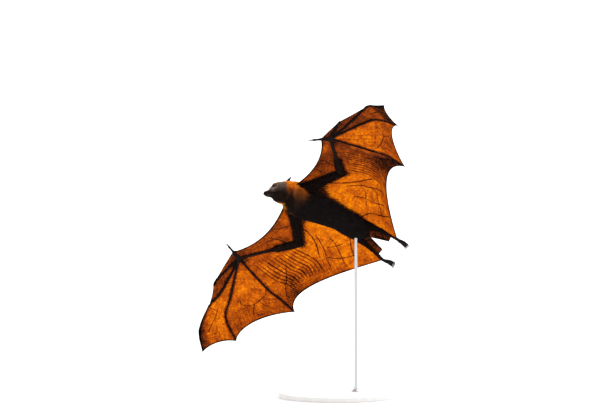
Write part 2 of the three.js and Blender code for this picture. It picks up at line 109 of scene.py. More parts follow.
def headToBody(points):
    return np.asarray(points, float) @ headTurn.T + headBack


def bodyToHead(points):
    return (np.asarray(points, float) - headBack) @ headTurn


def fade(value, low, high):  # 0 at low, 1 at high, smooth between
    t = np.clip((value - low) / (high - low), 0, 1)
    return t * t * (3 - 2 * t)


def between(a, b, t):
    return a + (b - a) * np.asarray(t, float)[..., None]


def unit(v):
    return v / np.maximum(np.linalg.norm(v, axis=-1, keepdims=True), 1e-12)


def partway(a, b, t):
    return a + (b - a) * t


def gapToBone(points, a, b):  # distance from the straight bone a to b, and how far along it they are
    run = b - a
    t = np.clip(((points - a) @ run) / (run @ run), 0, 1)
    return np.linalg.norm(points - a - t[:, None] * run, axis=1), t


def folded(h):  # the head's right side laid on its left
    return np.column_stack([h[:, 0], np.abs(h[:, 1]), h[:, 2]])


def alongLine(points):  # straight pieces at an even pace
    points = np.array(points)
    reach = np.concatenate([[0], np.cumsum(np.linalg.norm(np.diff(points, axis=0), axis=1))])
    return lambda t: np.stack([np.interp(t, reach / reach[-1], points[:, i]) for i in range(3)], -1)


def smoothThrough(knots, t):  # a soft curve through rows of numbers, each with an equal share of t
    knots = np.array(knots, float)
    knots = np.vstack([2 * knots[0] - knots[1], knots, 2 * knots[-1] - knots[-2]])
    last = len(knots) - 3
    place = np.clip(t, 0, 1) * last
    i = np.minimum(place.astype(int), last - 1)
    s = (place - i)[..., None]
    a, b, c, d = (knots[i + k] for k in range(4))
    return b + 0.5 * s * (c - a + s * (2 * a - 5 * b + 4 * c - d + s * (3 * (b - c) + d - a)))


def pickOnly(piece):
    bpy.ops.object.select_all(action="DESELECT")
    piece.select_set(True)
    bpy.context.view_layer.objects.active = piece


def addModifier(piece, kind, **settings):
    pickOnly(piece)
    modifier = piece.modifiers.new(kind.title(), kind)
    for key, value in settings.items():
        setattr(modifier, key, value)
    bpy.ops.object.modifier_apply(modifier=modifier.name)


def joinInto(piece, others, name):
    pickOnly(piece)
    for other in others:
        other.select_set(True)
    bpy.ops.object.join()
    piece.name = piece.data.name = name
    return piece


def readAll(items, key, width, kind):
    flat = np.empty(len(items) * width, kind)
    items.foreach_get(key, flat)
    return flat.reshape(-1, width)


def placesOf(mesh):
    return readAll(mesh.vertices, "co", 3, np.float32).astype(float)


def normalsOf(mesh):
    return readAll(mesh.vertex_normals, "vector", 3, np.float32).astype(float)


def movePoints(mesh, places):
    mesh.vertices.foreach_set("co", np.asarray(places, np.float32).ravel())
    mesh.update()


def justAdded(name):  # the primitive that an operator has made
    piece = bpy.context.object
    piece.name = piece.data.name = name
    return piece


def layGrid(name, columns, rows, surface):  # a grid laid over surface(u, v), both 0 to 1
    bpy.ops.object.select_all(action="DESELECT")
    bpy.ops.mesh.primitive_grid_add(x_subdivisions=columns, y_subdivisions=rows, size=1)
    piece = justAdded(name)
    flat = placesOf(piece.data)
    u, v = np.clip(flat[:, 0] + 0.5, 0, 1), np.clip(flat[:, 1] + 0.5, 0, 1)
    movePoints(piece.data, inWorld(surface(u, v)))
    return piece, u, v


weld = {"tube": 0.00002, "sheet": 0.000001}  # points closer than this are merged, in metres


def closeShell(piece, kind):  # a wrapped grid's seam and poles are merged
    pickOnly(piece)
    bpy.ops.object.mode_set(mode="EDIT")
    bpy.ops.mesh.select_all(action="SELECT")
    bpy.ops.mesh.remove_doubles(threshold=weld[kind])
    bpy.ops.mesh.normals_make_consistent(inside=False)
    bpy.ops.object.mode_set(mode="OBJECT")
    bpy.ops.object.shade_smooth()
    return piece


def ovalTube(knots, up=dorsal, cap=0.08, dome=0.6):  # knots: x, y, z, half-width, half-depth
    def surface(u, v):
        t = np.clip((u - cap) / (1 - 2 * cap), 0, 1)
        row = smoothThrough(knots, t)
        ahead, behind = (smoothThrough(knots, t + step)[..., :3] for step in (0.01, -0.01))
        axis = unit(ahead - behind)
        upward = unit(up - axis * (axis @ up)[..., None])
        across = np.cross(upward, axis)
        turn = 2 * math.pi * v
        shut = np.clip(1 - u / cap, 0, 1) - np.clip((u - 1 + cap) / cap, 0, 1)
        swell = np.cos(shut * math.pi / 2)
        rise = -np.sin(shut * math.pi / 2) * dome * np.minimum(row[..., 3], row[..., 4])
        return (row[..., :3] + axis * rise[..., None]
                + across * (np.cos(turn) * row[..., 3] * swell)[..., None]
                + upward * (np.sin(turn) * row[..., 4] * swell)[..., None])
    return surface


def makeTube(name, knots, rings, around, **options):
    piece, _, _ = layGrid(name, rings, around, ovalTube(knots, **options))
    return closeShell(piece, "tube")


def setNumbers(mesh, name, values):
    layer = mesh.attributes.new(name, "FLOAT", "POINT")
    layer.data.foreach_set("value", np.asarray(values, np.float32))


def setColours(mesh, name, values):
    layer = mesh.attributes.new(name, "FLOAT_COLOR", "POINT")
    rgba = np.ones((len(values), 4), np.float32)
    rgba[:, :3] = values
    layer.data.foreach_set("color", rgba.ravel())


def wear(piece, material):
    piece.data.materials.clear()
    piece.data.materials.append(material)


def settle(piece, material, stoodFor):  # finish, place in the frame, and the solids it stands for
    wear(piece, material)
    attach(piece, "root")
    if stoodFor:
        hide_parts(*stoodFor)


# Camera: level with the bat and far off, below its left side
camera = {"raise": 4, "away": 15.0, "frameWidth": 1.53, "sensor": 36, "aside": (-0.035, 0.020)}
tilt = math.radians(camera["raise"])
bpy.ops.object.camera_add()
lens = bpy.context.object
lens.name = "camera"
lens.rotation_euler = (math.radians(90) - tilt, 0, 0)
lens.location = (batPlace + camera["aside"][0] * np.array((1, 0, 0))
                 + camera["aside"][1] * np.array((0, math.sin(tilt), math.cos(tilt)))
                 + camera["away"] * np.array((0, -math.cos(tilt), math.sin(tilt))))
lens.data.sensor_width = camera["sensor"]
lens.data.lens = camera["sensor"] * camera["away"] / camera["frameWidth"]
lens.data.clip_start, lens.data.clip_end = 0.1, 400
bpy.context.scene.camera = lens
bpy.context.scene.view_settings.view_transform = "Standard"
print("camera set")


def newMaterial(name, roughness=0.5, specular=0.5, **sockets):
    material = bpy.data.materials.new(name)
    material.use_nodes = True
    tree = material.node_tree
    shader = tree.nodes["Principled BSDF"]
    for socket, value in {"Roughness": roughness, "Specular IOR Level": specular, **sockets}.items():
        shader.inputs[socket].default_value = value
    return material, tree, shader


def addNode(tree, kind, links=None, **settings):
    node = tree.nodes.new("ShaderNode" + kind)
    for key, value in settings.items():
        setattr(node, key, value)
    for socket, source in (links or {}).items():
        if isinstance(source, (int, float, tuple)):
            node.inputs[socket].default_value = source
        else:
            tree.links.new(source, node.inputs[socket])
    return node


def noiseOver(tree, scale, detail=3.0, roughness=0.55):
    coords = addNode(tree, "TexCoord")
    return addNode(tree, "TexNoise", {"Vector": coords.outputs["Object"], "Scale": scale,
                                      "Detail": detail, "Roughness": roughness}).outputs["Fac"]


def math2(tree, operation, a, b=0.0, clamp=False):
    return addNode(tree, "Math", {0: a, 1: b}, operation=operation, use_clamp=clamp).outputs[0]


def numberFrom(tree, name):
    return addNode(tree, "Attribute", attribute_name=name).outputs["Fac"]


def ramp(tree, factor, stops):
    node = addNode(tree, "ValToRGB", {"Fac": factor})
    bar = node.color_ramp
    while len(bar.elements) < len(stops):
        bar.elements.new(0.5)
    for element, (position, colour) in zip(bar.elements, stops):
        element.position = position
        element.color = (*colour, 1)
    return node.outputs["Color"]


def mapRange(tree, value, fromLow, fromHigh, toLow=0.0, toHigh=1.0):
    return addNode(tree, "MapRange", {"Value": value, "From Min": fromLow, "From Max": fromHigh,
                                      "To Min": toLow, "To Max": toHigh}).outputs["Result"]


def mixColour(tree, factor, a, b):  # sockets 6 and 7 of a Mix node are its two colours
    return addNode(tree, "Mix", {"Factor": factor, 6: (*a, 1), 7: (*b, 1)}, data_type="RGBA").outputs[2]


def bump(tree, shader, height, distance, strength=1.0):
    node = addNode(tree, "Bump", {"Height": height, "Strength": strength, "Distance": distance})
    tree.links.new(node.outputs["Normal"], shader.inputs["Normal"])


def letLightThrough(tree, shader, colour, share):  # a thin sheet or thin hair glows with the light behind it
    glow = addNode(tree, "BsdfTranslucent", {"Color": colour})
    both = addNode(tree, "MixShader", {"Fac": share, 1: shader.outputs[0], 2: glow.outputs[0]})
    tree.links.new(both.outputs[0], tree.nodes["Material Output"].inputs["Surface"])


def coatFinish(name, roughness=0.85, strand=900, through=0.0):
    material, tree, shader = newMaterial(name, roughness, 0.04)
    colour = addNode(tree, "Attribute", attribute_name="coatColour").outputs["Color"]
    grizzle = mapRange(tree, noiseOver(tree, strand, 2), 0.3, 0.7, 0.65, 1.4)
    patch = mapRange(tree, noiseOver(tree, 90, 3), 0.3, 0.7, 0.8, 1.25)
    shaded = addNode(tree, "VectorMath", {0: colour}, operation="SCALE")
    tree.links.new(math2(tree, "MULTIPLY", grizzle, patch), shaded.inputs["Scale"])
    tree.links.new(shaded.outputs["Vector"], shader.inputs["Base Color"])
    bump(tree, shader, noiseOver(tree, strand * 0.8, 4), 0.0006, 0.6)
    if through:
        letLightThrough(tree, shader, shaded.outputs["Vector"], through)
    return material


wingLook = {
    "through": 0.72,  # share of the light that passes each face of the skin
    "bodyShare": 0.20,
    "stops": [(0.0, (0.02, 0.009, 0.007)), (0.18, (0.18, 0.070, 0.040)), (0.36, (0.36, 0.132, 0.036)),
              (0.51, (0.51, 0.186, 0.034)), (0.62, (0.62, 0.236, 0.034)), (0.74, (0.74, 0.310, 0.034)),
              (0.84, (0.84, 0.395, 0.036)), (0.98, (0.98, 0.52, 0.030))],
    "blotch": (38, 0.14), "grain": (240, 0.17), "speck": (480, 0.13), "crackle": (110, 0.05),
    "creases": [((0.32, 0.03, 0.1), 0.10), ((0.03, 0.22, 0.1), 0.11)],  # per millimetre along u and v
    "veins": (0.5, 1.6, 0.72), "edge": (1.2, 4.6, 0.6),  # dark up to, gone by, how dark
    "bone": (2.8, 6.5, 0.40),
    "fibres": {"bundle": 0.20, "fine": 0.24}, "fibreDark": 0.68,
}


def darkened(tree, level, gap, band, clamp=False):
    near, far, amount = band
    return math2(tree, "SUBTRACT", level, mapRange(tree, gap, near, far, amount, 0.0), clamp=clamp)


def wingFinish():
    look = wingLook
    material, tree, shader = newMaterial("wingSkin", 0.6, 0.03)
    level = numberFrom(tree, "tone")
    for name in ("blotch", "grain", "speck"):
        scale, amount = look[name]
        uneven = mapRange(tree, noiseOver(tree, scale, 4, 0.6), 0.3, 0.7, -amount, amount)
        level = math2(tree, "ADD", level, uneven)
    drawn = addNode(tree, "Attribute", attribute_name="weave").outputs["Vector"]  # fine creases down the web
    for scale, amount in look["creases"]:
        stretched = addNode(tree, "Mapping", {"Vector": drawn, "Scale": scale})
        crease = addNode(tree, "TexNoise", {"Vector": stretched.outputs["Vector"], "Scale": 1.0,
                                            "Detail": 3.0})
        uneven = mapRange(tree, crease.outputs["Fac"], 0.3, 0.7, -amount, amount)
        level = math2(tree, "ADD", level, uneven)
    coords = addNode(tree, "TexCoord")
    scale, amount = look["crackle"]
    crackle = addNode(tree, "TexVoronoi", {"Vector": coords.outputs["Object"], "Scale": scale},
                      feature="DISTANCE_TO_EDGE").outputs["Distance"]
    level = math2(tree, "SUBTRACT", level, mapRange(tree, crackle, 0.02, 0.14, amount, -0.03))
    offLine = math2(tree, "MAXIMUM", math2(tree, "ABSOLUTE", numberFrom(tree, "veinSide")),
                    math2(tree, "SUBTRACT", numberFrom(tree, "veinGap"), 1.4))
    ragged = math2(tree, "ADD", offLine, mapRange(tree, noiseOver(tree, 160, 3), 0.3, 0.7, -0.4, 0.5))
    level = darkened(tree, level, ragged, look["veins"])
    for phase, width in look["fibres"].items():
        within = math2(tree, "FRACT", math2(tree, "ADD", numberFrom(tree, phase), 50.0))
        offset = math2(tree, "ABSOLUTE", math2(tree, "SUBTRACT", within, 0.5))
        line = mapRange(tree, offset, width * 0.4, width, look["fibreDark"], 0.0)
        line = math2(tree, "MULTIPLY", line, numberFrom(tree, phase + "Amount"))
        level = math2(tree, "SUBTRACT", level, line)
    level = darkened(tree, level, numberFrom(tree, "edgeGap"), look["edge"])
    level = darkened(tree, level, numberFrom(tree, "boneGap"), look["bone"], clamp=True)
    colour = ramp(tree, level, look["stops"])
    own = addNode(tree, "VectorMath", {0: colour, "Scale": look["bodyShare"]}, operation="SCALE")
    tree.links.new(own.outputs["Vector"], shader.inputs["Base Color"])
    bump(tree, shader, noiseOver(tree, 500, 4), 0.0004, 0.5)
    letLightThrough(tree, shader, colour, look["through"])
    return material


def darkSkinFinish(name, colour, roughness, specular):
    material, tree, shader = newMaterial(name, roughness, specular)
    patch = mapRange(tree, noiseOver(tree, 140, 4), 0.3, 0.7)
    lighter = tuple(min(1, c * 2.2) for c in colour)
    tree.links.new(mixColour(tree, patch, colour, lighter), shader.inputs["Base Color"])
    coords = addNode(tree, "TexCoord")
    crease = addNode(tree, "TexVoronoi", {"Vector": coords.outputs["Object"], "Scale": 900.0},
                     feature="DISTANCE_TO_EDGE")
    bump(tree, shader, crease.outputs["Distance"], 0.0003, 0.5)
    return material


def eyeFinish():  # a dark pupil in a brown iris, by the angle from the gaze
    material, tree, shader = newMaterial("eyeGloss", 0.12, 0.2, **{
        "Coat Weight": 0.15, "Coat Roughness": 0.03})
    streak = mapRange(tree, noiseOver(tree, 1500, 3), 0.3, 0.7, -0.03, 0.03)
    away = math2(tree, "ADD", numberFrom(tree, "gazeGap"), streak)
    colour = ramp(tree, away, [(0.0, (0.004, 0.003, 0.003)), (0.30, (0.004, 0.003, 0.003)),
                               (0.36, (0.060, 0.020, 0.006)), (0.62, (0.035, 0.012, 0.004)),
                               (0.72, (0.008, 0.005, 0.004)), (1.0, (0.020, 0.014, 0.011))])
    tree.links.new(colour, shader.inputs["Base Color"])
    return material


def lacquerFinish():
    material, tree, shader = newMaterial("standLacquer", 0.35, 0.4)
    tint = mapRange(tree, noiseOver(tree, 60, 4), 0.3, 0.7)
    painted = mixColour(tree, tint, (0.80, 0.79, 0.77), (0.86, 0.855, 0.84))
    tree.links.new(painted, shader.inputs["Base Color"])
    bump(tree, shader, noiseOver(tree, 700, 3), 0.0001, 0.3)
    return material


def steelFinish():  # drawn steel, its fine lines run up the rod
    material, tree, shader = newMaterial("rodSteel", Metallic=1.0)
    coords = addNode(tree, "TexCoord")
    stretched = addNode(tree, "Mapping", {"Vector": coords.outputs["Object"], "Scale": (900.0, 900.0, 6.0)})
    lines = addNode(tree, "TexNoise", {"Vector": stretched.outputs["Vector"], "Scale": 1.0,
                                       "Detail": 3.0}).outputs["Fac"]
    drawn = mixColour(tree, lines, (0.55, 0.56, 0.58), (0.78, 0.79, 0.80))
    tree.links.new(drawn, shader.inputs["Base Color"])
    tree.links.new(mapRange(tree, lines, 0.3, 0.7, 0.22, 0.38), shader.inputs["Roughness"])
    return material


wingSkin = wingFinish()
coat = coatFinish("coat", through=0.25)
hide = coatFinish("hide", roughness=0.75, strand=1300)
boneSkin = darkSkinFinish("fingerSkin", (0.006, 0.0035, 0.003), 0.8, 0.02)
footSkin = darkSkinFinish("footSkin", (0.007, 0.005, 0.0045), 0.7, 0.04)
earSkin = darkSkinFinish("earSkin", (0.007, 0.006, 0.006), 0.6, 0.1)
lidSkin = darkSkinFinish("lidSkin", (0.030, 0.022, 0.019), 0.8, 0.05)
clawHorn = darkSkinFinish("clawHorn", (0.005, 0.0035, 0.003), 0.35, 0.10)
eyeGloss = eyeFinish()
standLacquer = lacquerFinish()
rodSteel = steelFinish()
print("finishes made")

# Sections of the trunk, head and limbs out to the tips of the coat
trunkRows = [  # along, aside, height, half-width, half-depth, depth of the coat
    (-131, 0, -2, 9, 6, 1.6), (-124, 0, 0, 21, 15, 2.2), (-112, 0, 3, 31, 23, 2.6), (-95, 0, 6, 35, 28, 3),
    (-72, 0, 9, 35, 30, 3), (-48, 0, 11.5, 35, 31, 3), (-20, 0, 12, 38, 34.5, 3), (8, 0, 11.5, 41, 38, 3.2),
    (36, 0, 9.5, 43, 39, 3.6), (60, 0, 9, 41.5, 38.5, 4.2), (73, 0.6, 11.5, 41, 38.5, 4.4),
    (82, 1.2, 13, 37, 35.5, 4), (89, 1.6, 14, 30, 30, 4), (98, 1, 13, 20, 20, 4),
]
headRows = [
    (0, 0, 2, 28, 28.5, 3), (11.5, 0, 3, 27.5, 28, 2.8), (23, 0, 3.4, 26.5, 26.8, 2.4),
    (33, 0, 3.4, 24.8, 24.6, 1.9),
    (40.6, 0, 3.4, 22, 21.4, 1.5), (46.2, 0, 3.2, 18.2, 18, 1.1), (51.8, 0, 1.5, 13.2, 13.2, 0.8),
    (57.8, 0, 0.3, 10.2, 9.8, 0.5), (63.4, 0, 0.1, 8.4, 8, 0.35), (67.5, 0, 0.4, 6.8, 6.4, 0.25),
    (70, 0, 0.9, 4.4, 4.2, 0.2),
]


def limbsOf(j):  # flatness, then place, half-width and depth of the coat
    def onBone(start, end, rows):
        return [(partway(j[start], j[end], t), radius, coat) for t, radius, coat in rows]

    sole = [(j["ankle"] + t * unit(j["toes"] - j["ankle"]), radius, 0) for t, radius in
            ((-3, 4.0), (4, 5.0), (11, 6.1))]
    palm, wrist, thumbRoot = j["palm"], j["wrist"], j["thumbRoot"]
    return {
        "upperArm": (0.85, onBone("shoulder", "elbow", (
            (-0.12, 16, 2.4), (0.3, 14.6, 2.2), (0.65, 10.6, 1.7), (1, 9, 1.4)))),
        "foreArm": (0.85, onBone("elbow", "wrist", (
            (-0.03, 9, 1.4), (0.1, 12, 1.5), (0.25, 10.8, 1.3), (0.42, 7, 0.8), (0.58, 4.3, 0.3),
            (0.8, 3.7, 0.1), (1, 4, 0)))),
        "hand": (0.8, [(palm, 4.6, 0), (wrist, 7.2, 0), (partway(wrist, thumbRoot, 0.6), 5.6, 0),
                       (thumbRoot, 3.9, 0)]),
        "thumb": (1, [(thumbRoot, 3.4, 0), *onBone("wrist", "thumbTip", (
            (0.58, 2.6, 0), (0.72, 3.1, 0), (0.79, 2.4, 0)))]),
        "thigh": (0.85, onBone("hip", "knee", (
            (-0.1, 14, 2.4), (0.35, 13.5, 2.4), (0.75, 8.7, 1.7), (1, 6.8, 1.2)))),
        "shin": (1, onBone("knee", "ankle", ((-0.1, 6.4, 1.2), (0.5, 4.9, 0.7), (1, 4.1, 0.2)))),
        "sole": (0.62, sole),
    }


limbs = {(name, side): rows for side, (_, joints) in sides.items()
         for name, rows in limbsOf(joints).items()}


def scoreOfTube(points, places, widths):  # nearest place on a line, as a share of its width
    best, share, way = np.full(len(points), 1e9), np.zeros(len(points)), np.zeros((len(points), 3))
    for i in range(len(places) - 1):
        far, t = gapToBone(points, places[i], places[i + 1])
        gap = far / partway(widths[i], widths[i + 1], t)
        closer = gap < best
        best[closer] = gap[closer]
        share[closer] = (i + t[closer]) / (len(places) - 1)
        way[closer] = unit(places[i + 1] - places[i])
    return best, share, way


def scoreOfRows(points, rows):  # the same for the oval sections of the trunk or the head
    rows = np.array(rows, float)
    z, wide, deep = (np.interp(points[:, 0], rows[:, 0], rows[:, k]) for k in (2, 3, 4))
    outside = np.maximum(rows[0, 0] - points[:, 0], 0) + np.maximum(points[:, 0] - rows[-1, 0], 0)
    up = (points[:, 2] - z) / deep
    return np.hypot(points[:, 1] / wide, up) + outside / 20, up


# Wing skins
edges = {
    "left": {"arm": ((0.3, 0.07), (0.68, 0.15)), "flank": ((0.07, 0.255), (0.6, 0.125))},
    "right": {"arm": ((0.3, 0.12), (0.68, 0.15)), "flank": ((0.07, 0.225), (0.6, 0.09))},
}


def freeEdge(start, end, pull, startHandle, endHandle):
    chord = end - start
    length = np.linalg.norm(chord)
    direction = chord / length
    inward = pull - start
    inward = unit(inward - direction * inward.dot(direction))
    first = start + chord * startHandle[0] + inward * startHandle[1] * length
    second = start + chord * endHandle[0] + inward * endHandle[1] * length

    def edge(t):
        t = np.clip(t, 0, 1)[..., None]
        return (start * (1 - t) ** 3 + 3 * first * t * (1 - t) ** 2 + 3 * second * t * t * (1 - t)
                + end * t ** 3)
    return edge


def boneByBone(line):
    return lambda t: smoothThrough(line, t)


def lastBoneSlower(line):  # of three bones, the last takes half of the run, to pair with a finger of four
    return lambda t: smoothThrough(line, np.where(t < 0.5, t * 4 / 3, 2 / 3 + (t - 0.5) * 2 / 3))


def webBetween(near, far, edge, belly):
    def surface(u, v):
        s = np.maximum(u, 0.004)
        whole = np.ones_like(v)
        hauled = (edge(v) - between(near(whole), far(whole), v)) * (s ** 2.2)[..., None]
        lift = belly * np.sin(np.pi * v) * np.sin(np.pi * np.minimum(1, s * 0.8))
        return between(near(s), far(s), v) + hauled + dorsal * lift[..., None]
    return surface


def armSheet(joints, handles):
    edge = freeEdge(joints["neckRoot"], joints["thumbRoot"], joints["elbow"], *handles)
    bones = alongLine([joints["shoulder"], joints["elbow"], joints["wrist"]])

    def surface(u, v):
        droop = 8 * np.sin(np.pi * u) * (np.sin(np.pi * v) - (1 - v))
        return between(edge(u), bones(u ** 0.9), v) + dorsal * droop[..., None]
    return surface


def flankSheet(joints, handles):
    wrist, elbow, tip, ankle, armpit = (joints[k] for k in ("wrist", "elbow", "tip5", "ankle", "armpit"))
    top = alongLine([wrist, elbow, partway(elbow, joints["shoulder"], 0.8), armpit])
    finger = boneByBone([wrist, joints["knuckle5"], joints["joint5"], tip])
    body = alongLine([armpit, joints["flank"], joints["hip"], joints["knee"], ankle])
    trailing = freeEdge(tip, ankle, elbow, *handles)

    def surface(u, v):
        corners = between(between(wrist, armpit, u), between(tip, ankle, u), v)
        lift = 20 * np.sin(np.pi * u) * np.sin(np.pi * v)
        across = between(top(u), trailing(u), v)
        return across + between(finger(v), body(v), u) - corners + dorsal * lift[..., None]
    return surface


def fingerLines(joints):
    names = {2: ("wrist", "knuckle2", "tip2"), 3: ("palm", "knuckle3", "joint3", "bend3", "tip3"),
             4: ("palm", "knuckle4", "joint4", "tip4"), 5: ("wrist", "knuckle5", "joint5", "tip5")}
    return {digit: [joints[name] for name in places] for digit, places in names.items()}


def websOf(side):
    joints = sides[side][1]
    line = fingerLines(joints)
    curve = {digit: boneByBone(places) for digit, places in line.items()}
    wrist, tip2, joint3 = joints["wrist"], joints["tip2"], joints["joint3"]
    tip3, tip4, tip5 = joints["tip3"], joints["tip4"], joints["tip5"]
    leading = boneByBone([wrist, joints["thumbRoot"], tip2])
    return {  # surface, columns, rows, which of u and v ends at a free edge
        "arm": (armSheet(joints, edges[side]["arm"]), 130, 50, "v0"),
        "1_2": (webBetween(leading, curve[2], lambda v: tip2 + 0 * v[..., None], 0), 40, 10, "v0"),
        "2_3": (webBetween(curve[2], boneByBone(line[3][:3]),
                           freeEdge(tip2, joint3, wrist, (0.3, 0.04), (0.7, 0.04)), 1), 90, 16, "u1"),
        "3_4": (webBetween(curve[3], lastBoneSlower(line[4]),
                           freeEdge(tip3, tip4, wrist, (0.25, 0.16), (0.7, 0.16)), 4), 118, 40, "u1"),
        "4_5": (webBetween(curve[4], curve[5],
                           freeEdge(tip4, tip5, wrist, (0.12, 0.17), (0.62, 0.14)), 10), 110, 88, "u1"),
        "flank": (flankSheet(joints, edges[side]["flank"]), 158, 138, "v1"),
    }


# Blood vessels as places on their own web, each with a half-width in millimetres
vessels = {
    "flank": [([(0.79, 0.0), (0.753, 0.14), (0.703, 0.24), (0.645, 0.33), (0.59, 0.42), (0.567, 0.52)], 1.6),
              ([(0.75, 0.27), (0.70, 0.38), (0.66, 0.50), (0.625, 0.66), (0.63, 0.83)], 1.3),
              ([(0.81, 0.45), (0.77, 0.66), (0.745, 0.88)], 1.1),
              ([(0.945, 0.60), (0.87, 0.76), (0.82, 0.95)], 1.2),
              ([(0.64, 0.66), (0.70, 0.76), (0.78, 0.82), (0.86, 0.84)], 0.9),
              ([(0.70, 0.52), (0.76, 0.60), (0.84, 0.64)], 0.9),
              ([(0.273, 0.30), (0.20, 0.52), (0.10, 0.78)], 0.9)],
    "4_5": [([(0.36, 0.92), (0.50, 0.80), (0.617, 0.677), (0.707, 0.57), (0.87, 0.51)], 0.9),
            ([(0.617, 0.677), (0.73, 0.70), (0.86, 0.78)], 0.8),
            ([(0.45, 0.30), (0.62, 0.38), (0.707, 0.57)], 0.8)],
    "3_4": [([(0.45, 0.55), (0.62, 0.52), (0.8, 0.35)], 0.8)],
    "arm": [([(0.45, 0.95), (0.52, 0.55), (0.60, 0.15)], 0.9),
            ([(0.2, 0.8), (0.3, 0.45), (0.42, 0.12)], 0.9)],
    "2_3": [], "1_2": [],
}
# each web's tone, with painted shade: the left wing set darker than the right
webTone = {
    "left": {"arm": 0.47, "1_2": 0.36, "2_3": 0.30, "3_4": 0.50, "4_5": 0.77, "flank": 0.77},
    "right": {"arm": 0.57, "1_2": 0.42, "2_3": 0.44, "3_4": 0.80, "4_5": 0.77, "flank": 0.78},
}


def gapToLines(points, lines):
    gap = np.full(len(points), 99.0)
    for line in lines:
        for a, b in zip(line[:-1], line[1:]):
            gap = np.minimum(gap, gapToBone(points, a, b)[0])
    return gap


beside = {  # the furred trunk and arm, and how far their hair and shade reach over the wing
    "trunk": 36, "upperArm": 12, "forearm": 8, "furred": 0.36, "trunkReach": 13, "armReach": 9,
    "armpit": (-16, 8, 0), "armpitReach": 26, "armpitShare": 0.7,
}


def furredArm(joints):
    elbow = joints["elbow"]
    return [joints["shoulder"], elbow, partway(elbow, joints["wrist"], beside["furred"])]


def gapToTrunk(points):
    return beside["trunk"] * (scoreOfRows(points, trunkRows)[0] - 1)


def furAndShadeNear(points, side):
    sign, joints = sides[side]
    shoulder, elbow, bare = furredArm(joints)
    armGap = np.minimum(gapToLines(points, [[shoulder, elbow]]) - beside["upperArm"],
                        gapToLines(points, [[elbow, bare]]) - beside["forearm"])
    # the centre of a patch of painted shade in the armpit corner
    armpit = partway(shoulder, joints["armpit"], 0.4) + np.array(beside["armpit"]) * (1, sign, 1)
    return (np.exp(-np.maximum(gapToTrunk(points), 0) / beside["trunkReach"])
            + np.exp(-np.maximum(armGap, 0) / beside["armReach"]) + beside["armpitShare"]
            * np.exp(-(np.linalg.norm(points - armpit, axis=1) / beside["armpitReach"]) ** 2))


def sideOfLine(points, line):  # the gap to one line, below zero on one side of it
    gap, way = np.full(len(points), 99.0), np.ones(len(points))
    for a, b in zip(line[:-1], line[1:]):
        far, _ = gapToBone(points, a, b)
        closer = far < gap
        way[closer] = np.sign(np.cross(b - a, points[closer] - a) @ dorsal)
        gap[closer] = far[closer]
    return gap * way


def toneOf(web, side, points, u, v):
    joints = sides[side][1]
    tone = np.full(len(u), webTone[side][web])
    left = side == "left"
    tone -= 0.16 * (1 - fade(np.linalg.norm(points - joints["wrist"], axis=1), 8, 55))
    if web == "flank":
        # painted shadow: darker towards the tip of the fifth finger, more on the right wing
        tone -= (0.10 if left else 0.24) * (1 - fade(np.linalg.norm(points - joints["tip5"], axis=1), 5, 90))
        tone -= 0.10 * (1 - fade(u, 0.15, 0.5)) + 0.07 * fade(v, 0.80, 1.0)
        tone -= 0.12 * (1 - fade(v, 0.02, 0.20)) * (1 - fade(u, 0.35, 0.6))
        # painted shade over the left wing's outer flank
        if left:
            tone -= 0.20 * (1 - fade(u, 0.2, 0.62)) * fade(v, 0.25, 0.6) * (1 - fade(v, 0.8, 1.0))
            tone -= 0.16 * (1 - fade(u, 0.3, 0.6)) + 0.09 * fade(v, 0.45, 0.9)
        else:
            paler = 0.12 * (1 - fade(u, 0.1, 0.3)) * fade(v, 0.5, 0.8)
            tone -= 0.15 * fade(v, 0.25, 0.8) * (1 - fade(u, 0.55, 0.85)) - paler
    if web == "3_4":
        # a brown band by the leading edge: thick dark skin with painted shade, strong on the right wing
        band = 0.06 if left else 0.48
        tone -= 0.12 * (1 - fade(u, 0.2, 0.5)) + band * (1 - fade(v, 0.05, 0.45)) * fade(u, 0.4, 0.8)
        # painted shade: the left wing's tip set much darker than the right's
        tone -= (0.34 if left else 0.10) * fade(u, 0.5, 0.9)
    if web == "4_5":
        tone -= 0.06 + 0.14 * fade(u, 0.4, 0.9)
    if web == "arm":
        tone -= 0.10 * (1 - fade(v, 0.0, 0.25)) + (0.05 - 0.14 * fade(u, 0.6, 0.9) if left else 0.05)
    # darker beside the furred trunk and arm: dark hair with painted shade, and painted shade in the armpit
    # corner
    return tone - 0.62 * fade(furAndShadeNear(points, side), 0.45, 1.35)


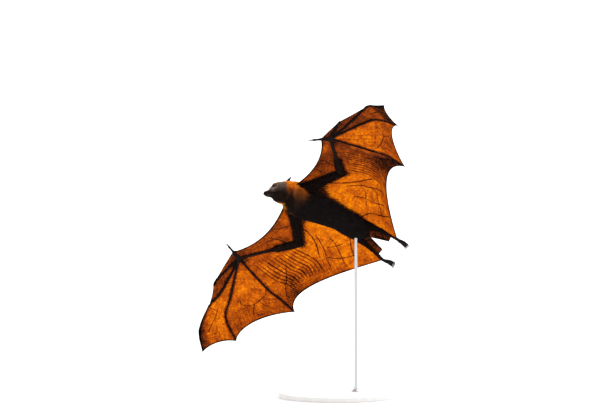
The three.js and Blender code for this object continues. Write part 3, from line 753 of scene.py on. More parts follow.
def paintWeb(mesh, web, side, surface, u, v, freeSide):
    joints = sides[side][1]
    points = inBody(placesOf(mesh))
    bones = [[joints[name] for name in limb] for limb in (
        ("shoulder", "elbow", "wrist"), ("hip", "knee", "ankle"))]
    bones += [list(smoothThrough(line, np.linspace(0, 1, 16))) for line in fingerLines(joints).values()]
    setNumbers(mesh, "tone", toneOf(web, side, points, u, v))
    setNumbers(mesh, "boneGap", gapToLines(points, bones))
    vein = np.full(len(u), 9.0)
    for places, half in vessels[web]:
        run = np.linspace(0, 1, 24)
        at = smoothThrough([(*p, 0) for p in places], run)
        if side == "left":
            at[:, 0] -= 0.012 * np.sin(7 * run)
        path = surface(at[:, 0], at[:, 1])
        own = sideOfLine(points, list(path)) / half * 1.15
        vein = np.where(np.abs(own) < np.abs(vein), own, vein)
    setNumbers(mesh, "veinSide", vein)
    setNumbers(mesh, "veinGap", np.abs(vein))
    step = 0.04
    spread, inner, outer = {
        "v0": (v, (u, step + 0 * v), (u, 0 * v)), "v1": (1 - v, (u, 1 - step + 0 * v), (u, 1 + 0 * v)),
        "u1": (1 - u, (1 - step + 0 * u, v), (1 + 0 * u, v))}[freeSide]
    reach = np.linalg.norm(surface(*inner) - surface(*outer), axis=1) / step
    setNumbers(mesh, "edgeGap", np.minimum(spread * reach, 30))
    w = (v - 0.15) / 0.63
    bundle = (0.51 + 0.057 * w - u + 0.003 * np.sin(6 * v + 25 * u)) / (0.037 - 0.007 * w)
    on = fade(bundle, -0.6, -0.1) * (1 - fade(bundle, 11, 12.5)) * fade(v, 0.05, 0.18)
    on = on * (1 - fade(v, 0.68, 0.9))
    fine = ((v - 0.45) - 2.58 * (u - 0.24)) / 0.059
    along = (u - (0.24 - 0.012 * fine)) / 0.12
    onFine = fade(fine, -1, 1) * (1 - fade(fine, 12, 15)) * fade(along, -0.15, 0.15)
    onFine = onFine * (1 - fade(along, 0.9, 1.15))
    if web != "flank":
        on, onFine = 0 * on, 0 * onFine
    vary = 0.55 + 0.45 * np.sin(np.floor(bundle) * 2.4 + 1)
    setNumbers(mesh, "bundle", np.clip(bundle, -20, 40))
    setNumbers(mesh, "bundleAmount", on * (0.35 + 0.65 * vary))
    setNumbers(mesh, "fine", np.clip(fine, -20, 40))
    setNumbers(mesh, "fineAmount", 0.5 * onFine)
    return bundle, on, fine, onFine


skinDepth = 0.8
wings = {}
for side in sides:
    made, webs = [], websOf(side)
    for web, (surface, columns, rows, freeSide) in webs.items():
        piece, u, v = layGrid(f"web_{web}_{side}", columns, rows, surface)
        bundle, on, fine, onFine = paintWeb(piece.data, web, side, surface, u, v, freeSide)
        middle = np.linspace(0, 1, 9)
        wide, high = (np.linalg.norm(np.diff(surface(*way), axis=0), axis=1).sum() for way in (
            (middle, 0 * middle + 0.5), (0 * middle + 0.5, middle)))
        setColours(piece.data, "weave", np.column_stack([u * wide, v * high, 0 * u + wide]))
        ripple = (0.35 * np.cos(2 * np.pi * bundle) * on + 0.2 * np.cos(2 * np.pi * fine) * onFine
                  + 0.5 * np.sin(14 * u + 5 * np.sin(4 * v)) * np.sin(np.pi * u) * np.sin(np.pi * v))
        movePoints(piece.data, placesOf(piece.data) + (ripple * mm)[:, None] * (batTurn @ dorsal))
        addModifier(piece, "SOLIDIFY", thickness=skinDepth * mm, offset=0)
        made.append(closeShell(piece, "sheet"))
    wing = joinInto(made[0], made[1:], f"wing_skin_{side}")
    settle(wing, wingSkin, [f"membrane_{web}_{side}" for web in webs])
    wings[side] = wing
print("wing skins laid")

# Fingers: dark tubes that swell at each joint
finger = {"radius": 2.75, "taper": 0.17, "swell": 1.25, "tip": 0.7}


def fingerKnots(line):
    knots = []
    bones = len(line) - 1
    for i in range(bones):
        last = i == bones - 1
        slim = finger["radius"] * (1 - finger["taper"] * (i + 1))
        start = finger["radius"] * (1 - finger["taper"] * i) * (1 if i == 0 else finger["swell"])
        for t in (0, 0.12, 0.35, 0.65, 0.88):
            place = smoothThrough(line, np.float64((i + t) / bones))
            width = start if t == 0 else slim * (1.05 - 0.3 * t if last else 1)
            knots.append((*place, width, width))
    end = slim * finger["tip"]
    return knots + [(*line[-1], end, end)]


tailSkin = {"root": (-112, 0.4, -3.0), "bend": (-146, 0.4, -6.0), "alongShin": 0.6, "tone": 0.20}
for side, (sign, joints) in sides.items():
    lines = fingerLines(joints)
    made = [makeTube(f"digit_{digit}_{side}", fingerKnots(line), 26 * (len(line) - 1), 12, cap=0.02)
            for digit, line in lines.items()]
    hand = joinInto(made[0], made[1:], f"fingers_{side}")
    settle(hand, boneSkin, [f"digit_{digit}_{side}" for digit in lines])
    root, bend = (np.array(tailSkin[name]) * (1, sign, 1) for name in ("root", "bend"))
    inner = alongLine([root, bend, joints["heelSpur"]])
    knee, ankle = joints["knee"], joints["ankle"]
    leg = alongLine([joints["hip"], knee, partway(knee, ankle, tailSkin["alongShin"])])
    tail, u, v = layGrid(f"tail_skin_{side}", 44, 16, lambda u, v: between(inner(u), leg(u), v))
    for name, values in {"tone": tailSkin["tone"] + 0 * u, "boneGap": 9 + 0 * u, "veinGap": 9 + 0 * u,
                         "veinSide": 9 + 0 * u, "edgeGap": 40 * v, "bundle": u, "bundleAmount": 0 * u,
                         "fine": u, "fineAmount": 0 * u}.items():
        setNumbers(tail.data, name, values)
    setColours(tail.data, "weave", np.column_stack([60 * u, 30 * v, 0 * u]))
    addModifier(tail, "SOLIDIFY", thickness=skinDepth * mm, offset=0)
    settle(closeShell(tail, "sheet"), wingSkin, [f"membrane_tail_{side}"])
print("fingers and tail skins made")

# The body: forms of each part under the coat, then one skin over them all
bodyMesh = {"voxel": 0.0009, "smoothing": 6, "kept": 0.5}
trunk = [(x, y, z, w - c, d - c) for x, y, z, w, d, c in trunkRows]
skull = [(*headToBody((x, y, z)), w - c, d - c) for x, y, z, w, d, c in headRows]
forms = [makeTube("trunkForm", trunk, 90, 56, cap=0.04),
         makeTube("headForm", skull, 80, 56, up=headTurn @ dorsal, cap=0.05)]
for (name, side), (flat, rows) in limbs.items():
    knots = [(*place, radius - c, radius * flat - c) for place, radius, c in rows]
    forms.append(makeTube(name, knots, 14 * len(rows), 26))
body = joinInto(forms[0], forms[1:], "body_skin")
addModifier(body, "REMESH", mode="VOXEL", voxel_size=bodyMesh["voxel"], use_smooth_shade=True)
addModifier(body, "SMOOTH", factor=0.5, iterations=bodyMesh["smoothing"])
print("body skin joined:", len(body.data.polygons), "faces")

eye = {"place": (44.0, 11.8, 12.2), "radius": 5.5, "gaze": (0.45, 0.85, 0.22), "wide": 5.0, "tall": 2.7,
       "socket": (4.5, 3.4, 2.6)}
face = {
    "from": 30, "to": 75,  # the finer part of the head
    "dabs": [  # place, reach, push: both sides alike
        ((43, 9.0, 20.5), 7, 2.6), ((35, 8, 23), 10, 1.8), ((51, 8.2, 11.0), 4.5, -0.9),
        ((48, 0, 18), 6, -1.0), ((45, 15.5, 4.5), 4.5, 0.8), ((34, 19, -3), 9, 1.0),
        ((57, 0, 10), 6, 0.5), ((60, 8.5, 3.5), 5, -0.5),
        ((63, 8, -1.5), 4, 0.6), ((69.3, 3.4, 2.4), 2.8, 1.3), ((70, 0, 1.5), 2.0, -1.3),
        ((56, 9.5, -7), 6, -0.7), ((70.6, 3.9, 2.4), 1.5, -2.3),  # the last is the nostril
    ],
    "mouth": [(44.5, -5.4), (47, -4.9), (54, -4.0), (62, -3.2), (66, -2.6), (71, -2.2)], "mouthDepth": 1.1,
    "mouthWidth": 0.65,
}


def mouthGap(h):  # how far below or above the line of the lips, and how much of it is there
    line = np.array(face["mouth"])
    gap = h[:, 2] - np.interp(h[:, 0], line[:, 0], line[:, 1])
    return gap, fade(h[:, 0], line[0, 0] - 0.6, line[0, 0] + 1.5)


def carveFace(h, normals):  # both in the head's own axes
    both, push = folded(h), np.zeros(len(h))
    for place, reach, amount in face["dabs"]:
        push += amount * np.exp(-2 * (np.linalg.norm(both - place, axis=1) / reach) ** 2)
    gap, there = mouthGap(h)
    push -= face["mouthDepth"] * there * np.exp(-(gap / face["mouthWidth"]) ** 2)
    push += 0.35 * there * np.exp(-((gap - 1.6) / 1.0) ** 2)
    carved = h + normals * push[:, None]
    away, reach, depth = eye["socket"]  # skin stays well inside the ball's front
    offSocket = folded(carved) - np.array(eye["place"]) - away * unit(np.array(eye["gaze"]))
    sink = depth * np.exp(-(np.linalg.norm(offSocket, axis=1) / reach) ** 4)
    return carved - normals * sink[:, None]


def frontOfHead(h, start, end):
    return (h[:, 0] > start) & (h[:, 0] < end) & (np.abs(h[:, 1]) < 30) & (np.abs(h[:, 2]) < 32)


pickOnly(body)
heads = bodyToHead(inBody(placesOf(body.data)))
bpy.ops.object.mode_set(mode="EDIT")
bpy.ops.mesh.select_all(action="DESELECT")
bpy.ops.object.mode_set(mode="OBJECT")
inFace = frontOfHead(heads, face["from"], face["to"])
body.data.vertices.foreach_set("select", inFace)
corner = readAll(body.data.loops, "vertex_index", 1, np.int32)[:, 0]
starts = readAll(body.data.polygons, "loop_start", 1, np.int32)[:, 0]
body.data.polygons.foreach_set("select", np.logical_and.reduceat(inFace[corner], starts))
bpy.ops.object.mode_set(mode="EDIT")
bpy.ops.mesh.select_mode(type="FACE")
bpy.ops.mesh.subdivide(number_cuts=1, smoothness=0.2)
bpy.ops.object.mode_set(mode="OBJECT")


heads = bodyToHead(inBody(placesOf(body.data)))
near = frontOfHead(heads, face["from"] - 6, face["to"] + 1)
carved = heads.copy()
carved[near] = carveFace(heads[near], normalsOf(body.data)[near] @ batTurn @ headTurn)
movePoints(body.data, inWorld(headToBody(carved)))
keep = body.vertex_groups.new(name="thin")
away = np.nonzero(heads[:, 0] < face["from"] - 2)[0]
keep.add([int(i) for i in away], 1.0, "REPLACE")
addModifier(body, "DECIMATE", ratio=bodyMesh["kept"], vertex_group="thin")
body.vertex_groups.clear()
print("face carved:", len(body.data.polygons), "faces")

partNames = np.array(["trunk", "head", *[name for name, _ in limbs]])
limbRows = [None, None, *[rows for _, rows in limbs.values()]]  # one for each part, none for trunk and head
coats = {  # hair length, lift off the skin, width, and how densely it grows
    "trunk": (15, 1.0, 1.5, 1.0), "head": (7, 1.0, 0.85, 2.2), "upperArm": (9, 1.0, 1.0, 1.4),
    "foreArm": (6, 1.0, 0.8, 1.6), "hand": (2, 0.5, 0.5, 0), "thumb": (2, 0.5, 0.5, 0),
    "thigh": (9, 1.0, 1.1, 1.3),
    "shin": (4, 0.9, 0.7, 1.6), "sole": (2, 0.5, 0.5, 0),
}


def sortOut(points):  # each one's part, how far along that, the hair's lie, how high up, place on the head
    heads = bodyToHead(points)
    gap, up = scoreOfRows(points, trunkRows)
    headGap, headUp = scoreOfRows(heads, headRows)
    scores = [np.where(heads[:, 0] > 6, gap + 9, gap), np.where(heads[:, 0] < 3, headGap + 9, headGap)]
    shares = [(points[:, 0] + 131) / 230, heads[:, 0] / 70]
    lies = [np.tile(way, (len(points), 1)) for way in ((-1.0, 0, -0.12), headTurn @ (-1.0, 0, 0.1))]
    for rows in limbRows[2:]:
        places, widths, _ = zip(*rows)
        score, share, way = scoreOfTube(points, places, widths)
        scores.append(score)
        shares.append(share)
        lies.append(way)
    part = np.argmin(np.array(scores), axis=0)
    every = np.arange(len(points))
    share, lie = np.array(shares)[part, every], np.array(lies)[part, every]
    return part, share, lie, np.where(part == 1, headUp, up), heads


markings = {
    # painted shade: the trunk's underside near black, its back a lighter brown
    "belly": (0.0137, 0.0100, 0.0105), "back": (0.050, 0.036, 0.028), "limb": (0.012, 0.0065, 0.005),
    # the orange collar by height, with painted shade: dark brown to near black on its underside
    "mantle": [(-0.95, (0.03, 0.016, 0.011)), (-0.70, (0.12, 0.045, 0.018)), (-0.42, (0.36, 0.10, 0.018)),
               (-0.10, (0.70, 0.175, 0.012)), (0.35, (0.95, 0.34, 0.012)), (1.0, (0.90, 0.32, 0.018))],
    # grey fur painted lighter on top of the head as painted light, and painted shade darkening the head's
    # underside
    "crown": (0.33, 0.225, 0.150), "cheek": (0.165, 0.112, 0.094), "headUnderShade": (0.027, 0.016, 0.013),
    "muzzle": (0.030, 0.020, 0.018), "bridge": (0.42, 0.30, 0.25), "pale": (0.62, 0.46, 0.40),
    # the first is painted rim light on the throat fringe, as if lit from behind
    "rimLitThroat": (1.0, 0.38, 0.012), "bare": (0.010, 0.007, 0.007),
}


def gapToEye(heads):
    return np.linalg.norm(folded(heads) - eye["place"], axis=1)


# the coat's colours, with painted shade on the undersides and painted light on top of the head and on the
# throat
def coatColourAt(points, part, share, up, heads):
    mark = markings
    colour = np.tile(mark["belly"], (len(points), 1))
    # painted shade: the trunk darker towards its underside, lighter towards its back
    colour = between(colour, np.array(mark["back"]), fade(up, -0.1, 0.8))
    colour[part > 1] = mark["limb"]
    # painted shade on the collar's underside, taken from the stops by height
    steps = np.array([s for s, _ in mark["mantle"]])
    mantle = np.stack([np.interp(up, steps, [c[k] for _, c in mark["mantle"]]) for k in range(3)], -1)
    height = np.clip(up, -1, 1)
    reach = fade(points[:, 0], 54 - 14 * height, 78 - 20 * height) * (1 - fade(heads[:, 0], 16, 26))
    colour = between(colour, mantle, np.where(part > 1, 0, reach))
    x, side, z = folded(heads).T
    gap, there = mouthGap(heads)
    # painted light and shade on the head: lighter on top, dark underneath
    head = np.tile(mark["cheek"], (len(points), 1))
    for name, amount in (
            ("crown", fade(up, -0.05, 0.6)), ("headUnderShade", 1 - fade(up, -0.60, 0.05)), ("muzzle", fade(x, 50, 58)),
            ("bridge", fade(x, 46, 52) * (1 - fade(x, 60, 66)) * fade(up, 0.25, 0.75)),
            ("pale", 0.85 * (np.exp(-((x - 48) / 4.5) ** 2 - ((z - 3.8) / 1.7) ** 2) * (side > 6))),
            ("bare", 1 - fade(gapToEye(heads), 6.2, 8.2)),
            ("bare", there * np.exp(-((gap + 0.2) / 1.5) ** 2) * 0.95), ("bare", fade(x, 64.5, 67.5))):
        head = between(head, np.array(mark[name]), amount)
    low = np.clip(-up, 0, 1)
    return between(colour, head, np.where(part == 1, fade(x, 16 + 5 * low, 26 + 4 * low), 0))


points = inBody(placesOf(body.data))
part, share, lie, up, heads = sortOut(points)
skinColour = coatColourAt(points, part, share, up, heads)
hairless = np.array([coats[name][3] == 0 for name in partNames])[part]
skinColour[hairless] = markings["bare"]
# the same colours on the skin under the hair, painted shade and light included
setColours(body.data, "coatColour", 0.8 * skinColour)
solidLimbs = ("upper_arm", "forearm", "wrist", "thumb", "thigh", "shin", "foot")
solidLimbs = [f"{name}_{side}" for side in sides for name in solidLimbs]
settle(body, hide, ["trunk", "neck", "head", *solidLimbs])
print("body skin coloured")


def headSpot(place, sign):  # from the head's axes to the bat's, for the left or right side
    return headToBody(np.asarray(place, float) * np.array((1, sign, 1)))


def headWay(way, sign):
    return unit(np.asarray(way, float) * np.array((1, sign, 1))) @ headTurn.T


def orbAxes(sign):
    gaze = headWay(eye["gaze"], sign)
    forward = headWay((1, 0, 0.10), sign)
    forward = unit(forward - gaze * (forward @ gaze))
    return gaze, forward, np.cross(gaze, forward) * -sign


def lidSurface(sign):
    gaze, forward, upward = orbAxes(sign)
    middle = headSpot(eye["place"], sign)

    def surface(u, v):  # u round the opening, v from its rim out to where it sinks into the head
        turn = 2 * np.pi * u
        narrow = eye["tall"] * (0.35 + 0.65 * np.abs(np.sin(turn)) ** 0.5)
        rim = 1 / np.sqrt((np.cos(turn) / eye["wide"]) ** 2 + (np.sin(turn) / narrow) ** 2)
        opened = np.arcsin(np.clip(rim / (eye["radius"] + 0.5), 0, 0.98))
        polar = partway(opened, 1.75, v)
        fold = 0.30 * np.exp(-((v - 0.30) / 0.07) ** 2) * (np.sin(turn) > 0)
        radius = eye["radius"] + 0.45 + 1.1 * v * (1 - v) + 0.35 * np.exp(-(v / 0.08) ** 2) - fold
        outward = (gaze * np.cos(polar)[..., None] + forward * (np.sin(polar) * np.cos(turn))[..., None]
                   + upward * (np.sin(polar) * np.sin(turn))[..., None])
        return middle + outward * radius[..., None]
    return surface


ear = {"root": (26, 15, 15), "tip": (-2, 21, 38), "width": 12.0, "wrap": 2.2, "thick": 1.3, "sunk": 0.30}


def earSurface(sign):
    root, tip = headSpot(ear["root"], sign), headSpot(ear["tip"], sign)
    lean = unit(tip - root)
    hollow = headWay((0.9, 0.45, 0), sign)
    across = unit(np.cross(lean, hollow))
    rear = np.cross(lean, across)

    def surface(u, v):
        s = u * (1 + ear["sunk"]) - ear["sunk"]
        t = np.maximum(s, 0)
        half = ear["width"] * np.cos(t * 1.55) ** 0.75 * (0.82 + 0.55 * t * (1 - t))
        turn = (v - 0.5) * ear["wrap"]
        curl = 0.9 * np.exp(-(np.minimum(v, 1 - v) / 0.07) ** 2) * (1 - t)
        crease = 0.25 * np.cos(14 * np.pi * v) * np.sin(np.pi * np.clip(t, 0, 1))
        return (root + lean * (s * np.linalg.norm(tip - root))[..., None]
                + across * (np.sin(turn) * half)[..., None]
                + rear * (np.cos(turn) * half * 0.7 + curl + crease)[..., None])
    return surface


for side, (sign, joints) in sides.items():
    lids, _, _ = layGrid(f"eyelids_{side}", 60, 22, lidSurface(sign))
    closeShell(lids, "tube")
    addModifier(lids, "SOLIDIFY", thickness=0.6 * mm, offset=0)
    settle(lids, lidSkin, [])
    middle = headSpot(eye["place"], sign)
    bpy.ops.object.select_all(action="DESELECT")
    bpy.ops.mesh.primitive_uv_sphere_add(segments=48, ring_count=28, radius=eye["radius"])
    ball = justAdded(f"eyeball_{side}")
    sphere = placesOf(ball.data)
    gaze, _, _ = orbAxes(sign)
    facing = unit(sphere) @ gaze
    setNumbers(ball.data, "gazeGap", np.arccos(np.clip(facing, -1, 1)))
    bulge = 1 + 0.05 * fade(facing, 0.80, 0.95)  # the clear front of the eye
    movePoints(ball.data, inWorld(sphere * bulge[:, None] + middle))
    pickOnly(ball)
    bpy.ops.object.shade_smooth()
    settle(ball, eyeGloss, [f"eye_{side}"])
    leaf, _, _ = layGrid(f"ear_leaf_{side}", 46, 34, earSurface(sign))
    addModifier(leaf, "SOLIDIFY", thickness=ear["thick"] * mm, offset=0)
    addModifier(leaf, "SMOOTH", factor=0.5, iterations=2)
    settle(closeShell(leaf, "sheet"), earSkin, [f"ear_{side}"])
print("eyes, lids and ears set")

# Toes and claws
toes = {
    "length": 25, "spread": {"left": 4.0, "right": 6.5}, "count": 5, "apart": 2.0,
    "pad": ((-0.05, 0.3, 2.1), (0.12, -0.5, 2.2), (0.28, -0.9, 1.8), (0.42, -0.6, 2.1), (0.56, 0.2, 1.7),
            (0.66, 0.8, 1.9)),  # share of the length, drop, radius
    "claw": ((0.60, 0.2, 1.5), (0.74, 0.9, 1.6), (0.86, 2.6, 1.35), (0.94, 5.4, 0.9), (0.97, 8.3, 0.25)),
    "thumbClaw": ((0.73, 0.2, 1.7), (0.82, -0.6, 2.0), (0.90, -0.4, 1.6), (0.96, 1.2, 1.0), (1.0, 4.0, 0.3)),
    "clawFlat": 0.8,
}


def bentKnots(start, way, rows, flat=1.0):  # rows along a straight way, each dropped below it
    return [(*(start + way * t - dorsal * drop), r * flat, r) for t, drop, r in rows]


for side, (sign, joints) in sides.items():
    axis = unit(joints["toes"] - joints["ankle"])
    across = unit(np.cross(axis, dorsal))
    pads, claws = [], []
    for i in range(toes["count"]):
        offset = i - (toes["count"] - 1) / 2
        turn = math.radians(-offset * toes["spread"][side])
        heading = axis * math.cos(turn) + np.cross(dorsal, axis) * math.sin(turn)
        root = joints["ankle"] + axis * 8 + across * offset * toes["apart"]
        way = heading * toes["length"]
        pads.append(makeTube("toe", bentKnots(root, way, toes["pad"]), 30, 14, cap=0.06))
        hook = bentKnots(root, way, toes["claw"], toes["clawFlat"])
        claws.append(makeTube("claw", hook, 26, 10, cap=0.05))
    way = joints["thumbTip"] - joints["wrist"]
    hook = bentKnots(joints["wrist"], way, toes["thumbClaw"], toes["clawFlat"])
    settle(joinInto(pads[0], pads[1:], f"toes_{side}"), footSkin, [])
    settle(makeTube(f"thumb_hook_{side}", hook, 30, 14, cap=0.05), clawHorn, [f"thumb_claw_{side}"])
    settle(joinInto(claws[0], claws[1:], f"foot_claws_{side}"), clawHorn, [])
print("toes and claws made")

# Hair, in tufts that lie along the body
hair = {
    "trunk": 24400, "mantle": 11500, "head": 18000, "arms": 9000, "legs": 6000, "wing": 5200,
    "sink": 0.8, "patch": 0.003, "stray": 0.16, "sway": 0.10, "grey": 0.25,
    "length": (0.75, 1.25), "width": (0.8, 1.2), "rise": (0.75, 1.3), "shade": (0.7, 1.35),
    "onWing": {"from": (0.30, 1.05), "length": (6, 11), "width": (0.6, 0.95), "rise": (0.6, 1.6),
               "shade": (0.8, 1.8)},
}


def scatter(mesh, count, weightOf):  # places and normals spread over a mesh by area and weight
    mesh.calc_loop_triangles()
    faces = readAll(mesh.loop_triangles, "vertices", 3, np.int32)
    places, normals = inBody(placesOf(mesh)), normalsOf(mesh) @ batTurn
    a, b, c = (places[faces[:, k]] for k in range(3))
    weight = np.linalg.norm(np.cross(b - a, c - a), axis=1) * weightOf[faces].mean(axis=1)
    pick = dice.choice(len(faces), count, p=weight / weight.sum())
    s, t = dice.random(count), dice.random(count)
    over = s + t > 1
    s[over], t[over] = 1 - s[over], 1 - t[over]
    mix = np.column_stack([1 - s - t, s, t])[:, :, None]
    return (places[faces[pick]] * mix).sum(axis=1), unit((normals[faces[pick]] * mix).sum(axis=1))


def growTufts(name, roots, normals, lies, lengths, rises, widths, colours, unwrapped, rings):
    count = len(roots)
    lies = unit(lies - normals * (lies * normals).sum(axis=1)[:, None])
    across = np.cross(normals, lies)
    stray = dice.normal(0, hair["stray"], count)[:, None]
    lies, across = unit(lies + across * stray), unit(across - lies * stray)
    sway = dice.normal(0, hair["sway"], count) * lengths
    stops = {2: (0, 0.5, 1), 3: (0, 0.34, 0.7, 1)}[rings]
    swell = {2: (0.85, 0.8), 3: (0.8, 1.0, 0.65)}[rings]
    places = []
    for s, broad in zip(stops[:-1], swell):
        middle = (roots + lies * (lengths * s)[:, None] + across * (sway * s * s)[:, None]
                  + normals * (rises * (1.7 * s - 0.7 * s * s) - hair["sink"] * (1 - s))[:, None])
        half = across * (widths * broad * 0.5)[:, None]
        places += [middle + half, middle + normals * (widths * broad * 0.45)[:, None], middle - half]
    places.append(roots + lies * lengths[:, None] + across * sway[:, None] + normals * rises[:, None])
    places = np.stack(places, axis=1)
    size = places.shape[1]
    faces = [(0, 2, 1)]
    for r in range(rings - 1):
        for k in range(3):
            n = (k + 1) % 3
            faces += [(3 * r + k, 3 * r + n, 3 * r + 3 + n), (3 * r + k, 3 * r + 3 + n, 3 * r + 3 + k)]
    last = 3 * (rings - 1)
    faces += [(last + k, last + (k + 1) % 3, size - 1) for k in range(3)]
    faces = (np.array(faces)[None] + size * np.arange(count)[:, None, None]).reshape(-1, 3)
    mesh = bpy.data.meshes.new(name)
    mesh.vertices.add(count * size)
    mesh.vertices.foreach_set("co", inWorld(places.reshape(-1, 3)).astype(np.float32).ravel())
    mesh.loops.add(faces.size)
    mesh.loops.foreach_set("vertex_index", faces.astype(np.int32).ravel())
    mesh.polygons.add(len(faces))
    mesh.polygons.foreach_set("loop_start", np.arange(0, faces.size, 3, dtype=np.int32))
    mesh.update(calc_edges=True)
    layer = mesh.uv_layers.new(name="OFBake")
    spot = np.array([(corner, s) for s in stops[:-1] for corner in (0, 0.5, 1)] + [(0.5, 1)])
    spread = unwrapped[:, None, :] + hair["patch"] * spot[None]
    layer.data.foreach_set("uv", spread.reshape(-1, 2)[faces.ravel()].astype(np.float32).ravel())
    setColours(mesh, "coatColour", np.repeat(colours, size, axis=0))
    piece = bpy.data.objects.new(name, mesh)
    bpy.context.collection.objects.link(piece)
    pickOnly(piece)
    bpy.ops.object.shade_smooth()
    settle(piece, coat, [])
    return len(faces)


def unwrapOf(points, part, share):  # each limb has its own strip, unrolled round its middle
    turn = np.zeros(len(points))
    strips = np.zeros(len(points))
    present = np.unique(part)
    for strip, index in enumerate(present):
        own = part == index
        strips[own] = strip
        if index == 0:
            turn[own] = np.arctan2(points[own, 1], points[own, 2] - 10)
        elif index == 1:
            local = bodyToHead(points[own])
            turn[own] = np.arctan2(local[:, 1], local[:, 2] - 2)
        else:
            start, end = (limbRows[index][k][0] for k in (0, -1))
            axis = unit(end - start)
            first = unit(np.cross(axis, dorsal))
            off = points[own] - start
            turn[own] = np.arctan2(off @ first, off @ np.cross(axis, first))
    around = turn / (2 * np.pi) + 0.5
    across = (strips + 0.03 + 0.93 * around) / len(present)
    return np.column_stack([across, 0.01 + 0.97 * np.clip(share, 0, 1)])


coatTable = np.array([coats[name] for name in partNames], float)
partHere = partNames[part]
dense = coatTable[part, 3]
dense = dense * np.where(part == 1, fade(gapToEye(heads), 6.3, 8.0) * (1 - fade(heads[:, 0], 63, 67)), 1)
dense = dense * np.where(part == 1, 1 + 1.5 * fade(heads[:, 0], 25, 45), 1)
dense = dense * np.where(partHere == "foreArm", 1 - fade(share, 0.55, 0.75), 1)
dense = dense * np.where(partHere == "shin", 1 - fade(share, 0.6, 0.95), 1)
onMantle = (part == 0) * fade(points[:, 0], 48, 62)
groups = {  # which count, where, rings of a tuft, slot, share of the count
    "fur_back": ("trunk", (part == 0) * (1 - onMantle) * (up > 0.05), 3, "body_fur", 0.5),
    "fur_belly": ("trunk", (part == 0) * (1 - onMantle) * (up <= 0.05), 3, "body_fur", 0.5),
    "fur_mantle": ("mantle", onMantle, 3, "collar_fur", 1),
    "fur_head": ("head", 1.0 * (part == 1), 2, "head_fur", 1),
    "fur_arms": ("arms", 1.0 * np.isin(partHere, ["upperArm", "foreArm"]), 2, "body_fur", 1),
    "fur_legs": ("legs", 1.0 * np.isin(partHere, ["thigh", "shin"]), 2, "body_fur", 1),
}
total = 0
for name, (group, chosen, rings, slot, portion) in groups.items():
    count = int(hair[group] * portion)
    roots, normals = scatter(body.data, count, dense * chosen)
    rootPart, rootShare, lie, rootUp, rootHeads = sortOut(roots)
    own = partNames[rootPart]
    lengths, lift, widths, _ = coatTable[rootPart].T
    depth = np.zeros(count)
    for index in np.unique(rootPart):
        here = rootPart == index
        if index < 2:
            rows = np.array((trunkRows, headRows)[index])
            along, coatDepths = (roots, rootHeads)[index][here, 0], rows[:, 5]
            depth[here] = np.interp(along, rows[:, 0], coatDepths)
        else:
            coatDepths = [coatDepth for _, _, coatDepth in limbRows[index]]
            depth[here] = np.interp(rootShare[here], np.linspace(0, 1, len(coatDepths)), coatDepths)
    x = rootHeads[:, 0]
    taper = np.where(rootPart == 1, 1.25 - 1.0 * fade(x, 5, 60), 1)
    taper = np.where((own == "foreArm") | (own == "shin"), 1 - 0.6 * rootShare, taper)
    lengths = lengths * taper * dice.uniform(*hair["length"], count) * (1 + 0.25 * (group == "mantle"))
    widths = widths * np.clip(taper, 0.45, 1) * dice.uniform(*hair["width"], count)
    rises = np.maximum(depth * lift * dice.uniform(*hair["rise"], count), 0.25)
    straying = dice.normal(0, 3, count) * (1 - fade(x, 28, 40))  # the edges of the markings are ragged
    strayed = np.column_stack([straying, 0 * x, 0 * x])
    colours = coatColourAt(roots + strayed, rootPart, rootShare, rootUp, rootHeads + strayed)
    glow = fade(-normals[:, 1], 0.15, 0.6) * (1 - fade(normals[:, 2], -0.75, 0.0))  # painted rim light: the throat fringe made bright as if lit from behind
    glow = glow * fade(roots[:, 0], 80, 92) * (1 - fade(x, 30, 40))
    onJowls = fade(np.abs(rootUp), 0.3, 0.75) * (1 - fade(x, 42, 52))  # and on the crown
    fluffy = 0.6 * (rootPart == 1) * onJowls
    lengths, rises = lengths * (1 + 0.2 * glow), rises * (1 + 0.9 * glow + fluffy)
    colours = between(colours, np.array(markings["rimLitThroat"]), 0.9 * glow)
    shade = dice.uniform(*hair["shade"], count)[:, None]
    grey = (dice.random(count) < hair["grey"]) * (rootPart == 1) * (1 - fade(x, 50, 60))
    colours = colours * shade * (1 + 0.9 * grey[:, None])
    total += growTufts(name, roots, normals, lie, lengths, rises, widths, colours,
                       unwrapOf(roots, rootPart, rootShare), rings)
short, count = hair["onWing"], hair["wing"]
for side, (sign, joints) in sides.items():  # short hair on the wing beside the body and the arm
    mesh = wings[side].data
    near = fade(furAndShadeNear(inBody(placesOf(mesh)), side), *short["from"]) ** 1.5
    roots, normals = scatter(mesh, count, near)
    score, _, way = scoreOfTube(roots, furredArm(joints), [1, 1, 1])
    toTrunk = gapToTrunk(roots) < score - beside["upperArm"]
    outward = way * 0.4 + np.array((-1.0, 0.2 * sign, 0.0))
    lie = np.where(toTrunk[:, None], (-1.0, 0.45 * sign, 0.0), outward)
    lengths, widths, rises = (dice.uniform(*short[name], count) for name in ("length", "width", "rise"))
    colours = np.array(markings["limb"]) * dice.uniform(*short["shade"], count)[:, None]
    unwrapped = np.column_stack([(roots[:, 0] + 400) / 900, np.abs(roots[:, 1]) / 900])
    total += growTufts(f"fur_wing_{side}", roots, normals, lie, lengths, rises, widths, colours, unwrapped, 2)
print("hair grown:", total, "triangles")

# Stand: a lacquered disc and a steel rod with a collar
stand = {"radius": 150, "thick": 12, "bevel": 2.5, "rod": 4, "place": (45, 8), "top": 420, "collar": 12}


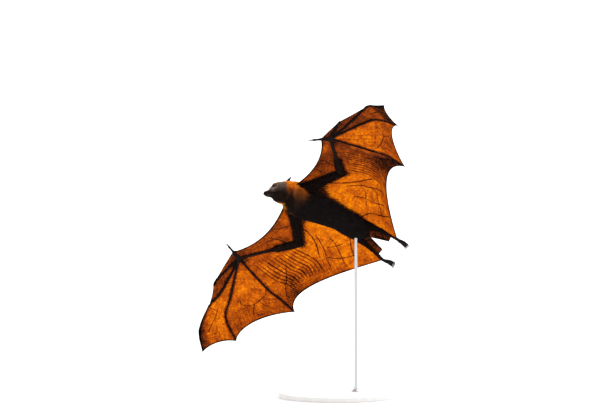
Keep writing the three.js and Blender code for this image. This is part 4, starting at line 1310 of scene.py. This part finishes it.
def turnedPiece(name, outline, around, place):  # outline: radius and height, spun round the upright
    bpy.ops.object.select_all(action="DESELECT")
    bpy.ops.mesh.primitive_circle_add(vertices=around, radius=outline[0][0] * mm, location=(
        place[0] * mm, place[1] * mm, outline[0][1] * mm), fill_type="NGON")
    piece = justAdded(name)
    pickOnly(piece)
    bpy.ops.object.mode_set(mode="EDIT")
    bpy.ops.mesh.select_all(action="SELECT")
    for (r0, z0), (r1, z1) in zip(outline[:-1], outline[1:]):
        bpy.ops.mesh.extrude_region_move(TRANSFORM_OT_translate={"value": (0, 0, (z1 - z0) * mm)})
        bpy.ops.transform.resize(value=(r1 / r0, r1 / r0, 1), center_override=(
            place[0] * mm, place[1] * mm, z1 * mm))
    bpy.ops.mesh.select_all(action="SELECT")
    bpy.ops.mesh.normals_make_consistent(inside=False)
    bpy.ops.object.mode_set(mode="OBJECT")
    bpy.ops.object.transform_apply(location=True, rotation=True, scale=True)
    return piece


def softenEdges(piece, width, corner):  # width in millimetres, corner in degrees
    addModifier(piece, "BEVEL", width=width * mm, segments=2, limit_method="ANGLE",
                angle_limit=math.radians(corner))
    pickOnly(piece)
    bpy.ops.object.shade_smooth_by_angle(angle=math.radians(corner + 5))


r, h, b = stand["radius"], stand["thick"], stand["bevel"]
disc = turnedPiece("stand_disc", [(r - 6, 0), (r - 1, 0), (r, 1), (r, h - b), (r - 0.3 * b, h - 0.3 * b),
                                  (r - b, h)], 128, (0, 0))
softenEdges(disc, 0.6, 25)
settle(disc, standLacquer, ["stand_base"])
rod, c, top = stand["rod"], stand["collar"], stand["top"]
post = turnedPiece("stand_post", [(c - 1, h + 0.05), (c, h + 0.3), (c, h + 2), (c - 1.2, h + 3),
                                  (c * 0.62, h + 5), (c * 0.48, h + 8), (rod + 0.6, h + 10.5),
                                  (rod, h + 12), (rod, top - 1), (rod - 1, top)], 48, stand["place"])
softenEdges(post, 0.3, 30)
settle(post, rodSteel, ["stand_rod"])
print("stand made")

# Floor, back light and soft sky
room = {"floor": 240, "floorGlow": 0.14, "sky": 1.0, "sun": 3.4, "sunSize": 50, "sunFrom": (0.25, 1.0, 0.9)}
bpy.ops.object.select_all(action="DESELECT")
bpy.ops.mesh.primitive_plane_add(size=room["floor"], location=(0, 0, -0.0002))
floor = bpy.context.object
floor.name = "floor"
paper, _, _ = newMaterial("floorPaper", 0.9, 0.1, **{
    "Base Color": (0.86, 0.86, 0.86, 1), "Emission Color": (1, 1, 1, 1),
    "Emission Strength": room["floorGlow"]})
wear(floor, paper)
floor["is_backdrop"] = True
bpy.ops.object.light_add(type="SUN")
sun = bpy.context.object
sun.name = "back_light"
sun.data.energy = room["sun"]
sun.data.angle = math.radians(room["sunSize"])
sun.rotation_euler = Vector(room["sunFrom"]).to_track_quat("Z", "Y").to_euler()
world = bpy.data.worlds.new("studio")
bpy.context.scene.world = world
world.use_nodes = True
world.node_tree.nodes["Background"].inputs["Color"].default_value = (1, 1, 1, 1)
world.node_tree.nodes["Background"].inputs["Strength"].default_value = room["sky"]
print("room lit")

low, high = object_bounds()
